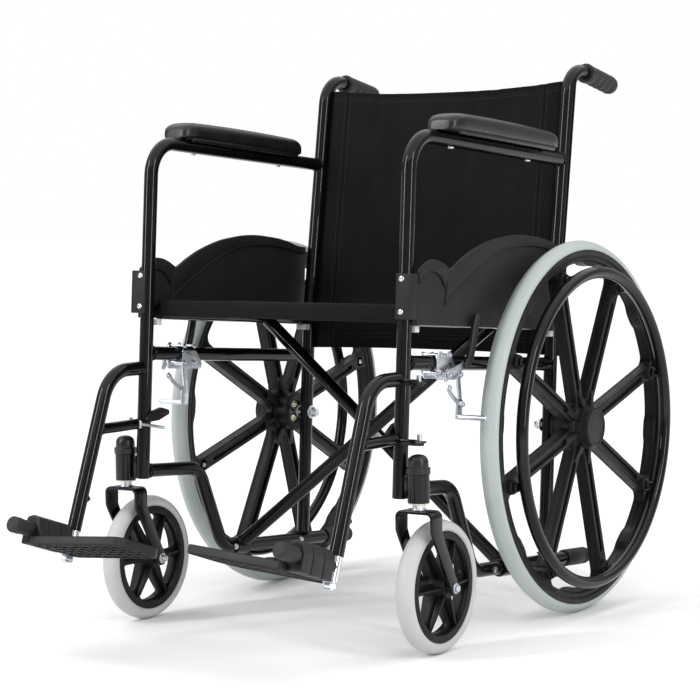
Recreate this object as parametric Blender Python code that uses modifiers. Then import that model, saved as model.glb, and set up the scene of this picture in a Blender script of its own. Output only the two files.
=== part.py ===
"""Folding self-propelled manual wheelchair, modelled as separate pieces in metres, +Z up.

The chair faces -Y and the sitter's left is +X. Each side frame is laid out in its own flat
coordinates, s along the rails towards the back and h up the posts, and then leans back by RAKE.
The wheels stand in the world's own axes, because they roll on the floor.
"""

import math

import bmesh
import bpy
from mathutils import Matrix, Vector

# Whole chair
RAKE = math.radians(4.1)
CENTRE_Y = 0.0488
HALF_WIDTH = 0.244
TUBE_R = 0.0111
GAP = 0.0003
TUBE_SIDES = 3

# Side frame, in s and h
POST_FRONT_S = -0.2925
POST_REAR_S = 0.165
POST_BOTTOM_H = 0.217
ARM_H = 0.758
ARM_BEND_R = 0.055
SIDE_RAIL_H = 0.418
LOWER_FRONT_H = 0.229
LOWER_H = 0.092
LOWER_DROP_S = (-0.146, -0.073)
LOWER_END_S = 0.318
RECLINE_START_H = 0.50
HANDLE_CORNER = (0.1995, 0.917)
HANDLE_END = (0.349, 0.8997)
HANDLE_BEND_R = 0.048
GRIP_START_S = 0.256
PAD_X = 0.2535
GUARD_X = 0.2630

# Seat, back and cross brace
SEAT_H = 0.484
SEAT_RAIL_S = (-0.262, 0.148)
SEAT_SLING_S = (-0.274, 0.150)
SEAT_TOP_H = 0.5055
BACK_BOTTOM_H = 0.432
BACK_TOP_H = 0.894
BRACE_S = (-0.027, 0.029)
BRACE_R = 0.011
BRACE_SLEEVE = 0.036

# Rear wheel
WHEEL_Y = 0.1865
WHEEL_R = 0.305
WHEEL_X = 0.300
TYRE_HALF = 0.0157
RIM_EDGE_R = 0.2903
RIM_INNER_R = 0.2634
SPOKES = 8
SPOKE_TURN = math.radians(-6.0)
HANDRIM_R = 0.2531
HANDRIM_X = 0.3352
HANDRIM_TUBE_R = 0.0098
HUB_X = (0.2645, 0.3335)

# Caster
STEM_X = 0.2778
STEM_Y = -0.277
TRAIL = 0.050
CASTER_R = 0.1009
CASTER_HALF = 0.01525
FORK_TOP_Z = 0.2223
FORK_HALF = 0.0325
HOUSING_Z = (0.2335, 0.2757)

# Leg support, in world y and z
HANGER_TOP = (-0.2800, 0.4145)
HANGER_CORNER = (-0.354, 0.4145)
HANGER_FOOT = (-0.4520, 0.1590)
HANGER_BEND_R = 0.062
HINGE_FRONT = (-0.5700, 0.1985)
TOE_UP = math.radians(18.0)
PLATE_TILT = math.radians(4.0)
PLATE_LENGTH = 0.172
PLATE_DEPTH = 0.126
HINGE_R = 0.0095
PIN_X = 0.274
PIN_Y = -0.267
PIN_Z = (0.4060, 0.3180)
POST_FRONT_Y = (-0.2750, -0.2815)

# Brake, in s and h
LEVER_PIVOT = (-0.2085, 0.4015)
SHOE_PIVOT = (-0.1670, 0.4014)
SHOE_ROD = (-0.1653, 0.3366)
LEVER_TOP = (-0.132, 0.4900)
LEVER_KNEE = (-0.1450, 0.4300)


def clear_scene():
    for old in list(bpy.data.objects):
        bpy.data.objects.remove(old, do_unlink=True)


def collection(name):
    made = bpy.data.collections.new(name)
    bpy.context.scene.collection.children.link(made)
    return made


def material(name, colour, roughness, metallic=0.0):
    made = bpy.data.materials.new(name)
    made.use_nodes = True
    shader = made.node_tree.nodes["Principled BSDF"]
    shader.inputs["Base Color"].default_value = (*colour, 1.0)
    shader.inputs["Roughness"].default_value = roughness
    shader.inputs["Metallic"].default_value = metallic
    return made


clear_scene()
PARTS = collection("manual_wheelchair")
GUIDES = collection("guides")
BLACK_PAINT = material("black_paint", (0.010, 0.010, 0.012), 0.18)
BLACK_NYLON = material("black_nylon", (0.020, 0.020, 0.022), 0.50)
BLACK_RUBBER = material("black_rubber", (0.022, 0.022, 0.024), 0.70)
BLACK_CLOTH = material("black_cloth", (0.018, 0.017, 0.018), 0.85)
GREY_RUBBER = material("grey_rubber", (0.55, 0.60, 0.60), 0.55)
PALE_RUBBER = material("pale_rubber", (0.68, 0.68, 0.67), 0.50)
ZINC = material("zinc", (0.62, 0.65, 0.68), 0.30, 1.0)


def level(x, y, z):
    """A point given in the world's axes, with the chair's length centred on the origin."""
    return Vector((x, y + CENTRE_Y, z))


def side(x, s, h):
    """A point of the raked side frame."""
    y = s * math.cos(RAKE) + h * math.sin(RAKE)
    z = -s * math.sin(RAKE) + h * math.cos(RAKE)
    return level(x, y, z)


RAKED = Matrix.Rotation(-RAKE, 4, "X")


def add(name, mesh, coat):
    """Puts a mesh in the model as one smooth object with one material."""
    piece = bpy.data.objects.new(name, mesh)
    PARTS.objects.link(piece)
    mesh.materials.clear()
    mesh.materials.append(coat)
    mesh.shade_smooth()
    mesh.set_sharp_from_angle(angle=math.radians(35.0))
    return piece


def baked(piece):
    """Replaces an object by the closed mesh that it evaluates to."""
    name = piece.name
    coat = piece.data.materials[0]
    graph = bpy.context.evaluated_depsgraph_get()
    mesh = bpy.data.meshes.new_from_object(piece.evaluated_get(graph))
    mesh.transform(piece.matrix_world)
    bm = bmesh.new()
    bm.from_mesh(mesh)
    bmesh.ops.remove_doubles(bm, verts=bm.verts, dist=0.00002)
    bmesh.ops.recalc_face_normals(bm, faces=bm.faces)
    bm.to_mesh(mesh)
    bm.free()
    bpy.data.objects.remove(piece, do_unlink=True)
    return add(name, mesh, coat)


def rounded(points, radius, steps=5):
    """A path through the points with each inner corner turned on an arc."""
    path = [points[0]]
    for before, corner, after in zip(points, points[1:], points[2:]):
        a = (before - corner).normalized()
        b = (after - corner).normalized()
        half = a.angle(b) / 2.0
        reach = radius / math.tan(half)
        centre = corner + (a + b).normalized() * (radius / math.sin(half))
        start = corner + a * reach - centre
        end = corner + b * reach - centre
        turn = start.angle(end)
        for i in range(steps + 1):
            t = i / steps
            spoke = start * math.sin((1.0 - t) * turn) + end * math.sin(t * turn)
            path.append(centre + spoke / math.sin(turn))
    path.append(points[-1])
    return path


def tube(name, points, radius, coat, sides=TUBE_SIDES):
    """A round bar along the points."""
    curve = bpy.data.curves.new(name, "CURVE")
    curve.dimensions = "3D"
    curve.bevel_depth = radius
    curve.bevel_resolution = sides
    curve.use_fill_caps = True
    spline = curve.splines.new("POLY")
    spline.points.add(len(points) - 1)
    for knot, place in zip(spline.points, points):
        knot.co = (*place, 1.0)
    curve.materials.append(coat)
    piece = bpy.data.objects.new(name, curve)
    PARTS.objects.link(piece)
    return baked(piece)


def turned(name, profile, origin, axis, coat, steps=16):
    """A turned piece: profile holds (radius, distance along the axis) pairs."""
    bm = bmesh.new()
    ring = [bm.verts.new((r, 0.0, along)) for r, along in profile]
    for a, b in zip(ring, ring[1:]):
        bm.edges.new((a, b))
    if profile[0][0] > 0.0:
        bm.edges.new((ring[-1], ring[0]))
    mesh = bpy.data.meshes.new(name)
    bm.to_mesh(mesh)
    bm.free()
    mesh.materials.append(coat)
    piece = bpy.data.objects.new(name, mesh)
    PARTS.objects.link(piece)
    lathe = piece.modifiers.new("turn", "SCREW")
    lathe.steps = steps
    lathe.render_steps = steps
    lathe.use_merge_vertices = True
    lathe.merge_threshold = 0.00002
    lean = Vector((0.0, 0.0, 1.0)).rotation_difference(axis).to_matrix().to_4x4()
    piece.matrix_world = Matrix.Translation(origin) @ lean
    bpy.context.view_layer.update()
    return baked(piece)


def block(name, size, centre, turn, coat, bevel=0.0, segments=2):
    """A box with optionally rounded edges."""
    bm = bmesh.new()
    bmesh.ops.create_cube(bm, size=1.0)
    bmesh.ops.scale(bm, vec=size, verts=bm.verts)
    if bevel > 0.0:
        bmesh.ops.bevel(bm, geom=bm.edges, offset=bevel, segments=segments,
                        affect="EDGES", profile=0.5)
    bm.transform(Matrix.Translation(centre) @ turn)
    mesh = bpy.data.meshes.new(name)
    bm.to_mesh(mesh)
    bm.free()
    return add(name, mesh, coat)


def slab(name, outline, thickness, place, coat, bevel=0.0):
    """A flat outline in its own x and y, given a thickness along its z, put down by a matrix."""
    curve = bpy.data.curves.new(name, "CURVE")
    curve.dimensions = "2D"
    curve.fill_mode = "BOTH"
    curve.extrude = thickness / 2.0 - bevel
    curve.bevel_depth = bevel
    curve.bevel_resolution = 0
    curve.offset = -bevel
    spline = curve.splines.new("POLY")
    spline.points.add(len(outline) - 1)
    for knot, (u, v) in zip(spline.points, outline):
        knot.co = (u, v, 0.0, 1.0)
    spline.use_cyclic_u = True
    curve.materials.append(coat)
    piece = bpy.data.objects.new(name, curve)
    PARTS.objects.link(piece)
    piece.matrix_world = place
    bpy.context.view_layer.update()
    return baked(piece)


def boolean(piece, other, operation):
    """Joins or cuts a piece with another one, which is used up."""
    change = piece.modifiers.new(operation.lower(), "BOOLEAN")
    change.operation = operation
    change.object = other
    result = baked(piece)
    bpy.data.objects.remove(other, do_unlink=True)
    return result


def union(piece, *others):
    for other in others:
        piece = boolean(piece, other, "UNION")
    return piece


def cut(piece, *others):
    for other in others:
        piece = boolean(piece, other, "DIFFERENCE")
    return piece


def pin(name, start, end, radius, coat, steps=10):
    """A plain cylinder between two points."""
    along = end - start
    profile = [(0.0, 0.0), (radius, 0.0), (radius, along.length), (0.0, along.length)]
    return turned(name, profile, start, along.normalized(), coat, steps)


def across(sx, origin):
    """A slab's axes in a side plane: x along s, y up h, z outboard."""
    columns = (side(0, 1, 0) - side(0, 0, 0), side(0, 0, 1) - side(0, 0, 0), Vector((1, 0, 0)))
    turn = Matrix(columns).transposed().to_4x4()
    return Matrix.Translation(origin) @ turn


def upright(origin):
    """A slab's axes in an unraked side plane: x along y, y up z, z along x."""
    columns = (Vector((0, 1, 0)), Vector((0, 0, 1)), Vector((1, 0, 0)))
    return Matrix.Translation(origin) @ Matrix(columns).transposed().to_4x4()


def rear_post_s(h):
    """The rear post's centre line, which reclines above the seat."""
    slope = (HANDLE_CORNER[0] - POST_REAR_S) / (HANDLE_CORNER[1] - RECLINE_START_H)
    return POST_REAR_S + max(0.0, h - RECLINE_START_H) * slope


def side_frame(p, sx):
    x = sx * HALF_WIDTH
    front = POST_FRONT_S
    clear = TUBE_R + GAP

    arm_end = rear_post_s(ARM_H - TUBE_R) - clear
    corners = [side(x, front, POST_BOTTOM_H), side(x, front, ARM_H), side(x, arm_end, ARM_H)]
    arm = tube(f"{p}_arm_tube", rounded(corners, ARM_BEND_R), TUBE_R, BLACK_PAINT)
    for z in PIN_Z:
        ear = block("ear", (PIN_X - HALF_WIDTH + 0.006, 0.012, 0.003),
                    level(sx * (PIN_X + HALF_WIDTH + 0.006) / 2.0, PIN_Y, z), Matrix(), BLACK_PAINT)
        peg = pin("peg", level(sx * PIN_X, PIN_Y, z - 0.0005),
                  level(sx * PIN_X, PIN_Y, z + 0.014), 0.0035, BLACK_PAINT)
        arm = union(arm, ear, peg)

    corners = [side(x, POST_REAR_S, LOWER_H + clear), side(x, POST_REAR_S, RECLINE_START_H),
               side(x, *HANDLE_CORNER), side(x, *HANDLE_END)]
    lower_path = corners[:1]
    upper_path = rounded(corners[1:], HANDLE_BEND_R)
    post = tube(f"{p}_back_post", lower_path + upper_path, TUBE_R, BLACK_PAINT)
    hole = pin("hole", level(x - 0.03, WHEEL_Y, WHEEL_R), level(x + 0.03, WHEEL_Y, WHEEL_R),
               0.0066, BLACK_PAINT)
    cut(post, hole)

    tube(f"{p}_side_rail", [side(x, front + clear, SIDE_RAIL_H),
                            side(x, POST_REAR_S - clear, SIDE_RAIL_H)], TUBE_R, BLACK_PAINT)

    corners = [side(x, front + clear, LOWER_FRONT_H), side(x, LOWER_DROP_S[0], LOWER_FRONT_H),
               side(x, LOWER_DROP_S[1], LOWER_H), side(x, LOWER_END_S, LOWER_H)]
    tube(f"{p}_lower_rail", rounded(corners, 0.042), TUBE_R, BLACK_PAINT)

    block(f"{p}_armrest_pad", (0.060, 0.335, 0.0300),
          side(sx * PAD_X, -0.057, ARM_H + clear + 0.0150), RAKED, BLACK_RUBBER, 0.008)

    cup = [(0.0, 0.1000), (0.0150, 0.0985), (0.0160, 0.0940)]
    for i in range(4):
        start = 0.0860 - i * 0.0200
        cup += [(0.0160, start), (0.0138, start - 0.0080)]
    cup += [(0.0160, 0.0060), (0.0165, 0.0), (0.0118, 0.0), (0.0118, 0.0960), (0.0, 0.0960)]
    run = (side(x, *HANDLE_END) - side(x, *HANDLE_CORNER)).normalized()
    grip_start = side(x, *HANDLE_CORNER) + run * (GRIP_START_S - HANDLE_CORNER[0])
    turned(f"{p}_push_grip", cup, grip_start, run, BLACK_RUBBER, 12)

    cup = [(0.0, 0.081), (0.0110, 0.0800), (0.0142, 0.0740), (0.0142, 0.0), (0.0114, 0.0),
           (0.0114, 0.0780), (0.0, 0.0780)]
    back = (side(x, 1, 0) - side(x, 0, 0)).normalized()
    turned(f"{p}_tip_cap", cup, side(x, LOWER_END_S - 0.0775, LOWER_H), back, BLACK_RUBBER)


def skirt_guard(p, sx):
    """The side panel's outline: a low lobe, a notch and a long arch over the wheel."""
    outline = [(-0.2912, 0.475), (0.174, 0.475), (0.174, 0.6110)]
    arch = ((0.151, 0.6120), (0.121, 0.6180), (0.092, 0.6220), (0.055, 0.6240), (0.020, 0.6245),
            (-0.015, 0.6220), (-0.050, 0.6165), (-0.088, 0.6085), (-0.134, 0.5930),
            (-0.168, 0.5770), (-0.190, 0.5645), (-0.199, 0.5605), (-0.208, 0.5640),
            (-0.222, 0.5700), (-0.240, 0.5732), (-0.258, 0.5722), (-0.276, 0.5640),
            (-0.2912, 0.5530))
    outline.extend(arch)
    slab(f"{p}_skirt_guard", outline, 0.0030, across(sx, side(sx * GUARD_X, 0, 0)), BLACK_NYLON)

    hook = [(0.2365, -0.3090), (0.2645, -0.3090), (0.2645, -0.2918), (0.2612, -0.2918),
            (0.2612, -0.2752), (0.2554, -0.2752), (0.2554, -0.3039), (0.2365, -0.3039)]
    turn = Matrix((Vector((1, 0, 0)), side(0, 1, 0) - side(0, 0, 0),
                   side(0, 0, 1) - side(0, 0, 0))).transposed().to_4x4()
    outline = [(sx * x, s) for x, s in hook]
    slab(f"{p}_guard_bracket", outline, 0.068, Matrix.Translation(side(0, 0, 0.516)) @ turn,
         BLACK_NYLON)


def caster(p, sx):
    x = sx * STEM_X
    up = Vector((0, 0, 1))
    base, top = HOUSING_Z
    axle_y = STEM_Y + TRAIL
    sleeve = [(0.0088, 0.0), (0.0165, 0.0), (0.0165, top - base), (0.0088, top - base)]
    housing = turned(f"{p}_caster_housing", sleeve, level(x, STEM_Y, base), up, BLACK_PAINT)
    gusset_x = (STEM_X - 0.0135 + HALF_WIDTH + TUBE_R + 0.0008) / 2.0
    gusset_w = STEM_X - 0.0135 - HALF_WIDTH - TUBE_R - 0.0008
    web = block("web", (gusset_w, 0.010, 0.034), level(sx * gusset_x, STEM_Y + 0.0015, 0.2555),
                Matrix(), BLACK_PAINT)
    union(housing, web)
    dome = [(0.0, 0.0290), (0.0065, 0.0280), (0.0120, 0.0240), (0.0150, 0.0170),
            (0.0158, 0.0110), (0.0180, 0.0110), (0.0180, 0.0), (0.0, 0.0)]
    turned(f"{p}_caster_cap", dome, level(x, STEM_Y, top + GAP), up, BLACK_RUBBER)
    stem = [(0.0, 0.0), (0.0110, 0.0), (0.0110, 0.0105), (0.0080, 0.0107), (0.0080, 0.0480),
            (0.0, 0.0480)]
    turned(f"{p}_caster_stem", stem, level(x, STEM_Y, FORK_TOP_Z + GAP), up, ZINC)

    crown = block(f"{p}_caster_fork", (2.0 * FORK_HALF, 0.030, 0.0060),
                  level(x, STEM_Y, FORK_TOP_Z - 0.0030), Matrix(), BLACK_PAINT, 0.0015, 1)
    leg = [(-0.0140, FORK_TOP_Z - 0.0010), (-0.0135, 0.1850), (TRAIL - 0.0115, CASTER_R - 0.004)]
    for i in range(7):
        angle = math.radians(-150.0 + i * 30.0)
        leg.append((TRAIL + 0.0115 * math.cos(angle), CASTER_R + 0.0115 * math.sin(angle)))
    leg += [(0.0140, 0.1950), (0.0140, FORK_TOP_Z - 0.0010)]
    for sign in (-1.0, 1.0):
        place = upright(level(x + sign * (FORK_HALF - 0.0025), STEM_Y, 0.0))
        crown = union(crown, slab("leg", leg, 0.0048, place, BLACK_PAINT))
    bore = pin("bore", level(x - 0.05, axle_y, CASTER_R), level(x + 0.05, axle_y, CASTER_R),
               0.0043, BLACK_PAINT)
    cut(crown, bore)

    reach = FORK_HALF + GAP
    bolt = [(0.0, -0.0060), (0.0070, -0.0060), (0.0070, 0.0), (0.0040, 0.0),
            (0.0040, 2.0 * reach), (0.0065, 2.0 * reach), (0.0065, 2.0 * reach + 0.0050),
            (0.0, 2.0 * reach + 0.0050)]
    turned(f"{p}_caster_axle", bolt, level(x - reach, axle_y, CASTER_R), Vector((1, 0, 0)), ZINC)

    along = Vector((1, 0, 0))
    centre = level(x, axle_y, CASTER_R)
    rim = [(0.0715, -0.0110), (0.0715, 0.0110), (0.0840, 0.0120), (0.0840, -0.0120)]
    wheel = turned(f"{p}_caster_wheel", rim, centre, along, BLACK_NYLON, 24)
    hub = turned("hub", [(0.0, -0.0225), (0.0160, -0.0225), (0.0160, 0.0225), (0.0, 0.0225)],
                 centre, along, BLACK_NYLON, 14)
    wheel = union(wheel, hub)
    for i in range(6):
        turn = Matrix.Rotation(math.radians(60.0 * i + 30.0), 4, "X")
        middle = centre + turn @ Vector((0, 0, 0.0430))
        wheel = union(wheel, block("spoke", (0.0170, 0.0110, 0.0620), middle, turn, BLACK_NYLON))
    bore = pin("bore", centre - along * 0.04, centre + along * 0.04, 0.0043, BLACK_NYLON)
    cut(wheel, bore)
    half = CASTER_HALF
    ring = [(0.0843, -0.0130), (0.0843, 0.0130), (0.0880, half), (0.0930, half - 0.0015),
            (0.0985, 0.0085), (CASTER_R, 0.0030), (CASTER_R, -0.0030), (0.0985, -0.0085),
            (0.0930, 0.0015 - half), (0.0880, -half)]
    turned(f"{p}_caster_tyre", ring, centre, along, PALE_RUBBER, 24)


def spun(made, centre):
    """Turns a finished wheel part about the axle to where its spokes rest."""
    made.data.transform(Matrix.Translation(centre) @ Matrix.Rotation(SPOKE_TURN, 4, "X")
                        @ Matrix.Translation(-centre))


def rear_wheel(p, sx):
    out = Vector((sx, 0, 0))
    centre = level(sx * WHEEL_X, WHEEL_Y, WHEEL_R)
    axle = [(0.0, 0.0), (0.0095, 0.0), (0.0095, 0.0195), (0.0060, 0.0195), (0.0060, 0.0425),
            (0.0100, 0.0425), (0.0100, 0.0510), (0.0060, 0.0510), (0.0060, 0.1100), (0.0, 0.1100)]
    turned(f"{p}_rear_axle", axle, level(sx * 0.2131, WHEEL_Y, WHEEL_R), out, ZINC)

    half = TYRE_HALF
    lip = RIM_EDGE_R
    rim = [(RIM_INNER_R, -0.0115), (RIM_INNER_R, 0.0115), (lip, half), (lip, half - 0.0022),
           (0.2820, half - 0.0026), (0.2820, 0.0026 - half), (lip, 0.0022 - half), (lip, -half)]
    wheel = turned(f"{p}_rear_wheel", rim, centre, out, BLACK_NYLON, 36)
    first = HUB_X[0] - WHEEL_X
    last = HUB_X[1] - WHEEL_X
    barrel = [(0.0, first), (0.0340, first), (0.0380, -0.0130), (0.0380, 0.0130),
              (0.0330, 0.0190), (0.0320, last - 0.0030), (0.0290, last), (0.0, last)]
    wheel = union(wheel, turned("hub", barrel, centre, out, BLACK_NYLON, 24))
    for i in range(SPOKES):
        turn = Matrix.Rotation(2.0 * math.pi * (i + 0.5) / SPOKES, 4, "X")
        middle = centre + turn @ Vector((0, 0, 0.1480)) - out * 0.0010
        spoke = block("spoke", (0.0210, 0.0270, 0.2400), middle, turn, BLACK_NYLON)
        seat = centre + turn @ Vector((0, 0, HANDRIM_R))
        boss = pin("boss", seat, seat + out * 0.0165, 0.0120, BLACK_NYLON, 10)
        wheel = union(wheel, spoke, boss)
    pocket = [(0.0, first - 0.01), (0.0104, first - 0.01), (0.0104, 0.0), (0.0063, 0.0),
              (0.0063, 0.0240), (0.0, 0.0240)]
    wheel = cut(wheel, turned("pocket", pocket, centre, out, BLACK_NYLON, 12))
    spun(wheel, centre)

    ring = [(0.2823, 0.0130), (lip + GAP, 0.0130), (lip + GAP, half), (0.2960, half),
            (0.3020, 0.0110), (WHEEL_R, 0.0035), (WHEEL_R, -0.0035), (0.3020, -0.0110),
            (0.2960, -half), (lip + GAP, -half), (lip + GAP, -0.0130), (0.2823, -0.0130)]
    spun(turned(f"{p}_rear_tyre", ring, centre, out, GREY_RUBBER, 36), centre)

    offset = HANDRIM_X - WHEEL_X
    hoop = []
    for i in range(6):
        angle = 2.0 * math.pi * (i + 0.5) / 6.0
        hoop.append((HANDRIM_R + HANDRIM_TUBE_R * math.cos(angle),
                     offset + HANDRIM_TUBE_R * math.sin(angle)))
    handrim = turned(f"{p}_handrim", hoop, centre, out, BLACK_PAINT, 36)
    for i in range(SPOKES):
        turn = Matrix.Rotation(2.0 * math.pi * (i + 0.5) / SPOKES, 4, "X")
        seat = centre + turn @ Vector((0, 0, HANDRIM_R))
        stand = pin("stand", seat + out * (0.0165 + GAP), seat + out * (offset - 0.004), 0.0070,
                    BLACK_PAINT, 8)
        handrim = union(handrim, stand)
    spun(handrim, centre)


def leg_support(p, sx):
    x = sx * HALF_WIDTH
    corners = [level(x, *HANGER_TOP), level(x, *HANGER_CORNER), level(x, *HANGER_FOOT)]
    hanger = tube(f"{p}_hanger", rounded(corners, HANGER_BEND_R), TUBE_R, BLACK_PAINT)
    hinge_axis = Vector((0, -math.cos(TOE_UP), math.sin(TOE_UP)))
    hinge_front = level(x, *HINGE_FRONT)
    hinge_back = hinge_front - hinge_axis * 0.130
    bar = pin("bar", hinge_back, hinge_front, HINGE_R, BLACK_PAINT, 12)
    plug = pin("plug", hinge_front - hinge_axis * 0.0240, hinge_front + hinge_axis * 0.0160,
               0.0115, BLACK_PAINT, 12)
    foot = level(x, *HANGER_FOOT)
    foot_way = (foot - level(x, *HANGER_CORNER)).normalized()
    heel = pin("heel", foot - foot_way * 0.010, foot + foot_way * 0.0240, 0.0095, BLACK_PAINT, 12)
    nut = pin("nut", foot + foot_way * 0.0230, foot + foot_way * 0.0340, 0.0075, BLACK_PAINT, 6)
    strut = pin("strut", level(x, -0.3860, 0.3260), level(x, -0.2880, 0.3260), 0.0085,
                BLACK_PAINT, 10)
    hanger = union(hanger, bar, plug, strut, heel, nut)
    for z, post_y in zip(PIN_Z, POST_FRONT_Y):
        base_z = z + 0.0020
        front_y = post_y - 0.0100
        bridge = block("bridge", (0.0520, 0.0090, 0.0100),
                       level(sx * 0.2575, post_y - 0.0055, base_z + 0.0045), Matrix(), BLACK_PAINT)
        back_y = PIN_Y + 0.0080
        tab = block("tab", (0.0120, back_y - front_y, 0.0030),
                    level(sx * 0.2770, (back_y + front_y) / 2.0, base_z + 0.0015), Matrix(),
                    BLACK_PAINT)
        hole = pin("hole", level(sx * PIN_X, PIN_Y, z - 0.02),
                   level(sx * PIN_X, PIN_Y, z + 0.03), 0.0039, BLACK_PAINT)
        tab = cut(tab, hole)
        hanger = union(hanger, bridge, tab)

    bar = block(f"{p}_latch_lever", (0.0065, 0.0600, 0.0080),
                level(sx * 0.2275, -0.2710, 0.3230), Matrix(), ZINC)
    paddle = block("paddle", (0.0080, 0.0520, 0.0180), level(sx * 0.2275, -0.2560, 0.3380),
                   Matrix.Rotation(math.radians(16.0), 4, "X"), BLACK_NYLON, 0.002, 1)
    union(bar, paddle)

    flat = Matrix.Rotation(-TOE_UP, 4, "X")
    lean = Matrix.Rotation(sx * PLATE_TILT, 4, "Y")
    middle = hinge_front - hinge_axis * 0.0660
    down = flat @ Vector((0, 0, -1))
    inner = Vector((-sx, 0, 0))
    tread_middle = middle + inner * (0.0135 + PLATE_LENGTH / 2.0) + down * 0.0140
    tread = block(f"{p}_footplate", (PLATE_LENGTH, PLATE_DEPTH, 0.0130), tread_middle, flat @ lean,
                  BLACK_NYLON)
    knuckle_middle = hinge_front - hinge_axis * 0.0650 + down * 0.0010 + inner * 0.0015
    knuckle = block("knuckle", (0.0300, 0.0780, 0.0460), knuckle_middle, flat, BLACK_NYLON,
                    0.003, 1)
    bore_sides = 12
    bore_r = (HINGE_R + GAP) / math.cos(math.pi / bore_sides)
    bore = pin("bore", middle - hinge_axis * 0.0800, middle + hinge_axis * 0.0800,
               bore_r, BLACK_NYLON, bore_sides)
    tread = union(tread, knuckle)
    cut(tread, bore)


def brake(p, sx):
    x = sx * HALF_WIDTH
    plate = [(-0.222, 0.388), (-0.150, 0.388), (-0.150, 0.436), (-0.222, 0.436)]
    clamp = slab(f"{p}_brake_clamp", plate, 0.0030, across(sx, side(sx * 0.2570, 0, 0)), ZINC)
    for s, h in (LEVER_PIVOT, SHOE_PIVOT):
        clamp = union(clamp, pin("peg", side(sx * 0.2575, s, h), side(sx * 0.2720, s, h), 0.0030,
                                 ZINC, 8))

    strap = 0.0060
    ends = [LEVER_PIVOT, LEVER_KNEE, LEVER_TOP]
    lever = None
    for (s0, h0), (s1, h1) in zip(ends, ends[1:]):
        length = math.hypot(s1 - s0, h1 - h0)
        turn = RAKED @ Matrix.Rotation(math.atan2(h1 - h0, s1 - s0), 4, "X")
        bar = block("bar", (0.0030, length + 2.0 * strap, 2.0 * strap),
                    side(sx * 0.2705, (s0 + s1) / 2.0, (h0 + h1) / 2.0), turn, ZINC)
        lever = bar if lever is None else union(lever, bar)
    rise = math.atan2(LEVER_TOP[1] - LEVER_KNEE[1], LEVER_TOP[0] - LEVER_KNEE[0])
    grip = block("grip", (0.0100, 0.0540, 0.0150),
                 side(sx * 0.2710, LEVER_TOP[0] - 0.0045, LEVER_TOP[1] - 0.0205),
                 RAKED @ Matrix.Rotation(rise, 4, "X"), BLACK_NYLON, 0.003, 1)
    lever = union(lever, grip)
    lever = cut(lever, pin("hole", side(sx * 0.25, *LEVER_PIVOT), side(sx * 0.29, *LEVER_PIVOT),
                           0.0033, ZINC))
    lever.name = f"{p}_brake_lever"

    middle = ((SHOE_PIVOT[0] + SHOE_ROD[0]) / 2.0, (SHOE_PIVOT[1] + SHOE_ROD[1]) / 2.0)
    arm = block(f"{p}_brake_shoe", (0.0028, 0.0160, 0.0800), side(sx * 0.2645, *middle), RAKED,
                ZINC)
    arm = cut(arm, pin("hole", side(sx * 0.25, *SHOE_PIVOT), side(sx * 0.29, *SHOE_PIVOT),
                       0.0033, ZINC))
    rod = pin("rod", side(sx * 0.2640, *SHOE_ROD), side(sx * 0.3150, *SHOE_ROD), 0.0050, ZINC)
    union(arm, rod)


def cross_brace():
    """The scissor: each tube turns on one lower rail and carries the other side's seat rail."""
    rise = SEAT_H - LOWER_H
    run = 2.0 * HALF_WIDTH
    length = math.hypot(rise, run)
    ends = {"a": (-1.0, BRACE_S[0]), "b": (1.0, BRACE_S[1])}
    along = (side(0, 1, 0) - side(0, 0, 0)).normalized()
    for key, (sx, s) in ends.items():
        low = side(sx * HALF_WIDTH, s, LOWER_H)
        high = side(-sx * HALF_WIDTH, s, SEAT_H)
        way = (high - low) / length
        bar = tube(f"cross_tube_{key}", [low + way * 0.0135, high - way * (TUBE_R + GAP)],
                   BRACE_R, BLACK_PAINT)
        sleeve = [(TUBE_R + GAP, 0.0), (0.0148, 0.0), (0.0148, BRACE_SLEEVE),
                  (TUBE_R + GAP, BRACE_SLEEVE)]
        ring = turned("sleeve", sleeve, low - along * (BRACE_SLEEVE / 2.0), along, BLACK_PAINT, 16)
        bar = union(ring, bar)
        bar.name = f"cross_tube_{key}"
        middle = (low + high) / 2.0
        bar = cut(bar, pin("hole", middle - along * 0.03, middle + along * 0.03, 0.0045,
                           BLACK_PAINT))
        bar = cut(bar, turned("clear", [(0.0, -0.1), (TUBE_R + GAP, -0.1), (TUBE_R + GAP, 0.1),
                                        (0.0, 0.1)], low, along, BLACK_PAINT, 16))
        rail_side = {"a": "left", "b": "right"}[key]
        tube(f"seat_rail_{rail_side}", [side(-sx * HALF_WIDTH, SEAT_RAIL_S[0], SEAT_H),
                                        side(-sx * HALF_WIDTH, SEAT_RAIL_S[1], SEAT_H)],
             TUBE_R, BLACK_PAINT)
    edge = BRACE_R + GAP
    first, last = BRACE_S
    bolt = [(0.0, first - edge - 0.006), (0.0080, first - edge - 0.006), (0.0080, first - edge),
            (0.0041, first - edge), (0.0041, first + edge), (0.0095, first + edge),
            (0.0095, last - edge), (0.0041, last - edge), (0.0041, last + edge),
            (0.0080, last + edge), (0.0080, last + edge + 0.006), (0.0, last + edge + 0.006)]
    turned("cross_bolt", bolt, side(0, 0, (SEAT_H + LOWER_H) / 2.0), along, ZINC, 12)


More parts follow.
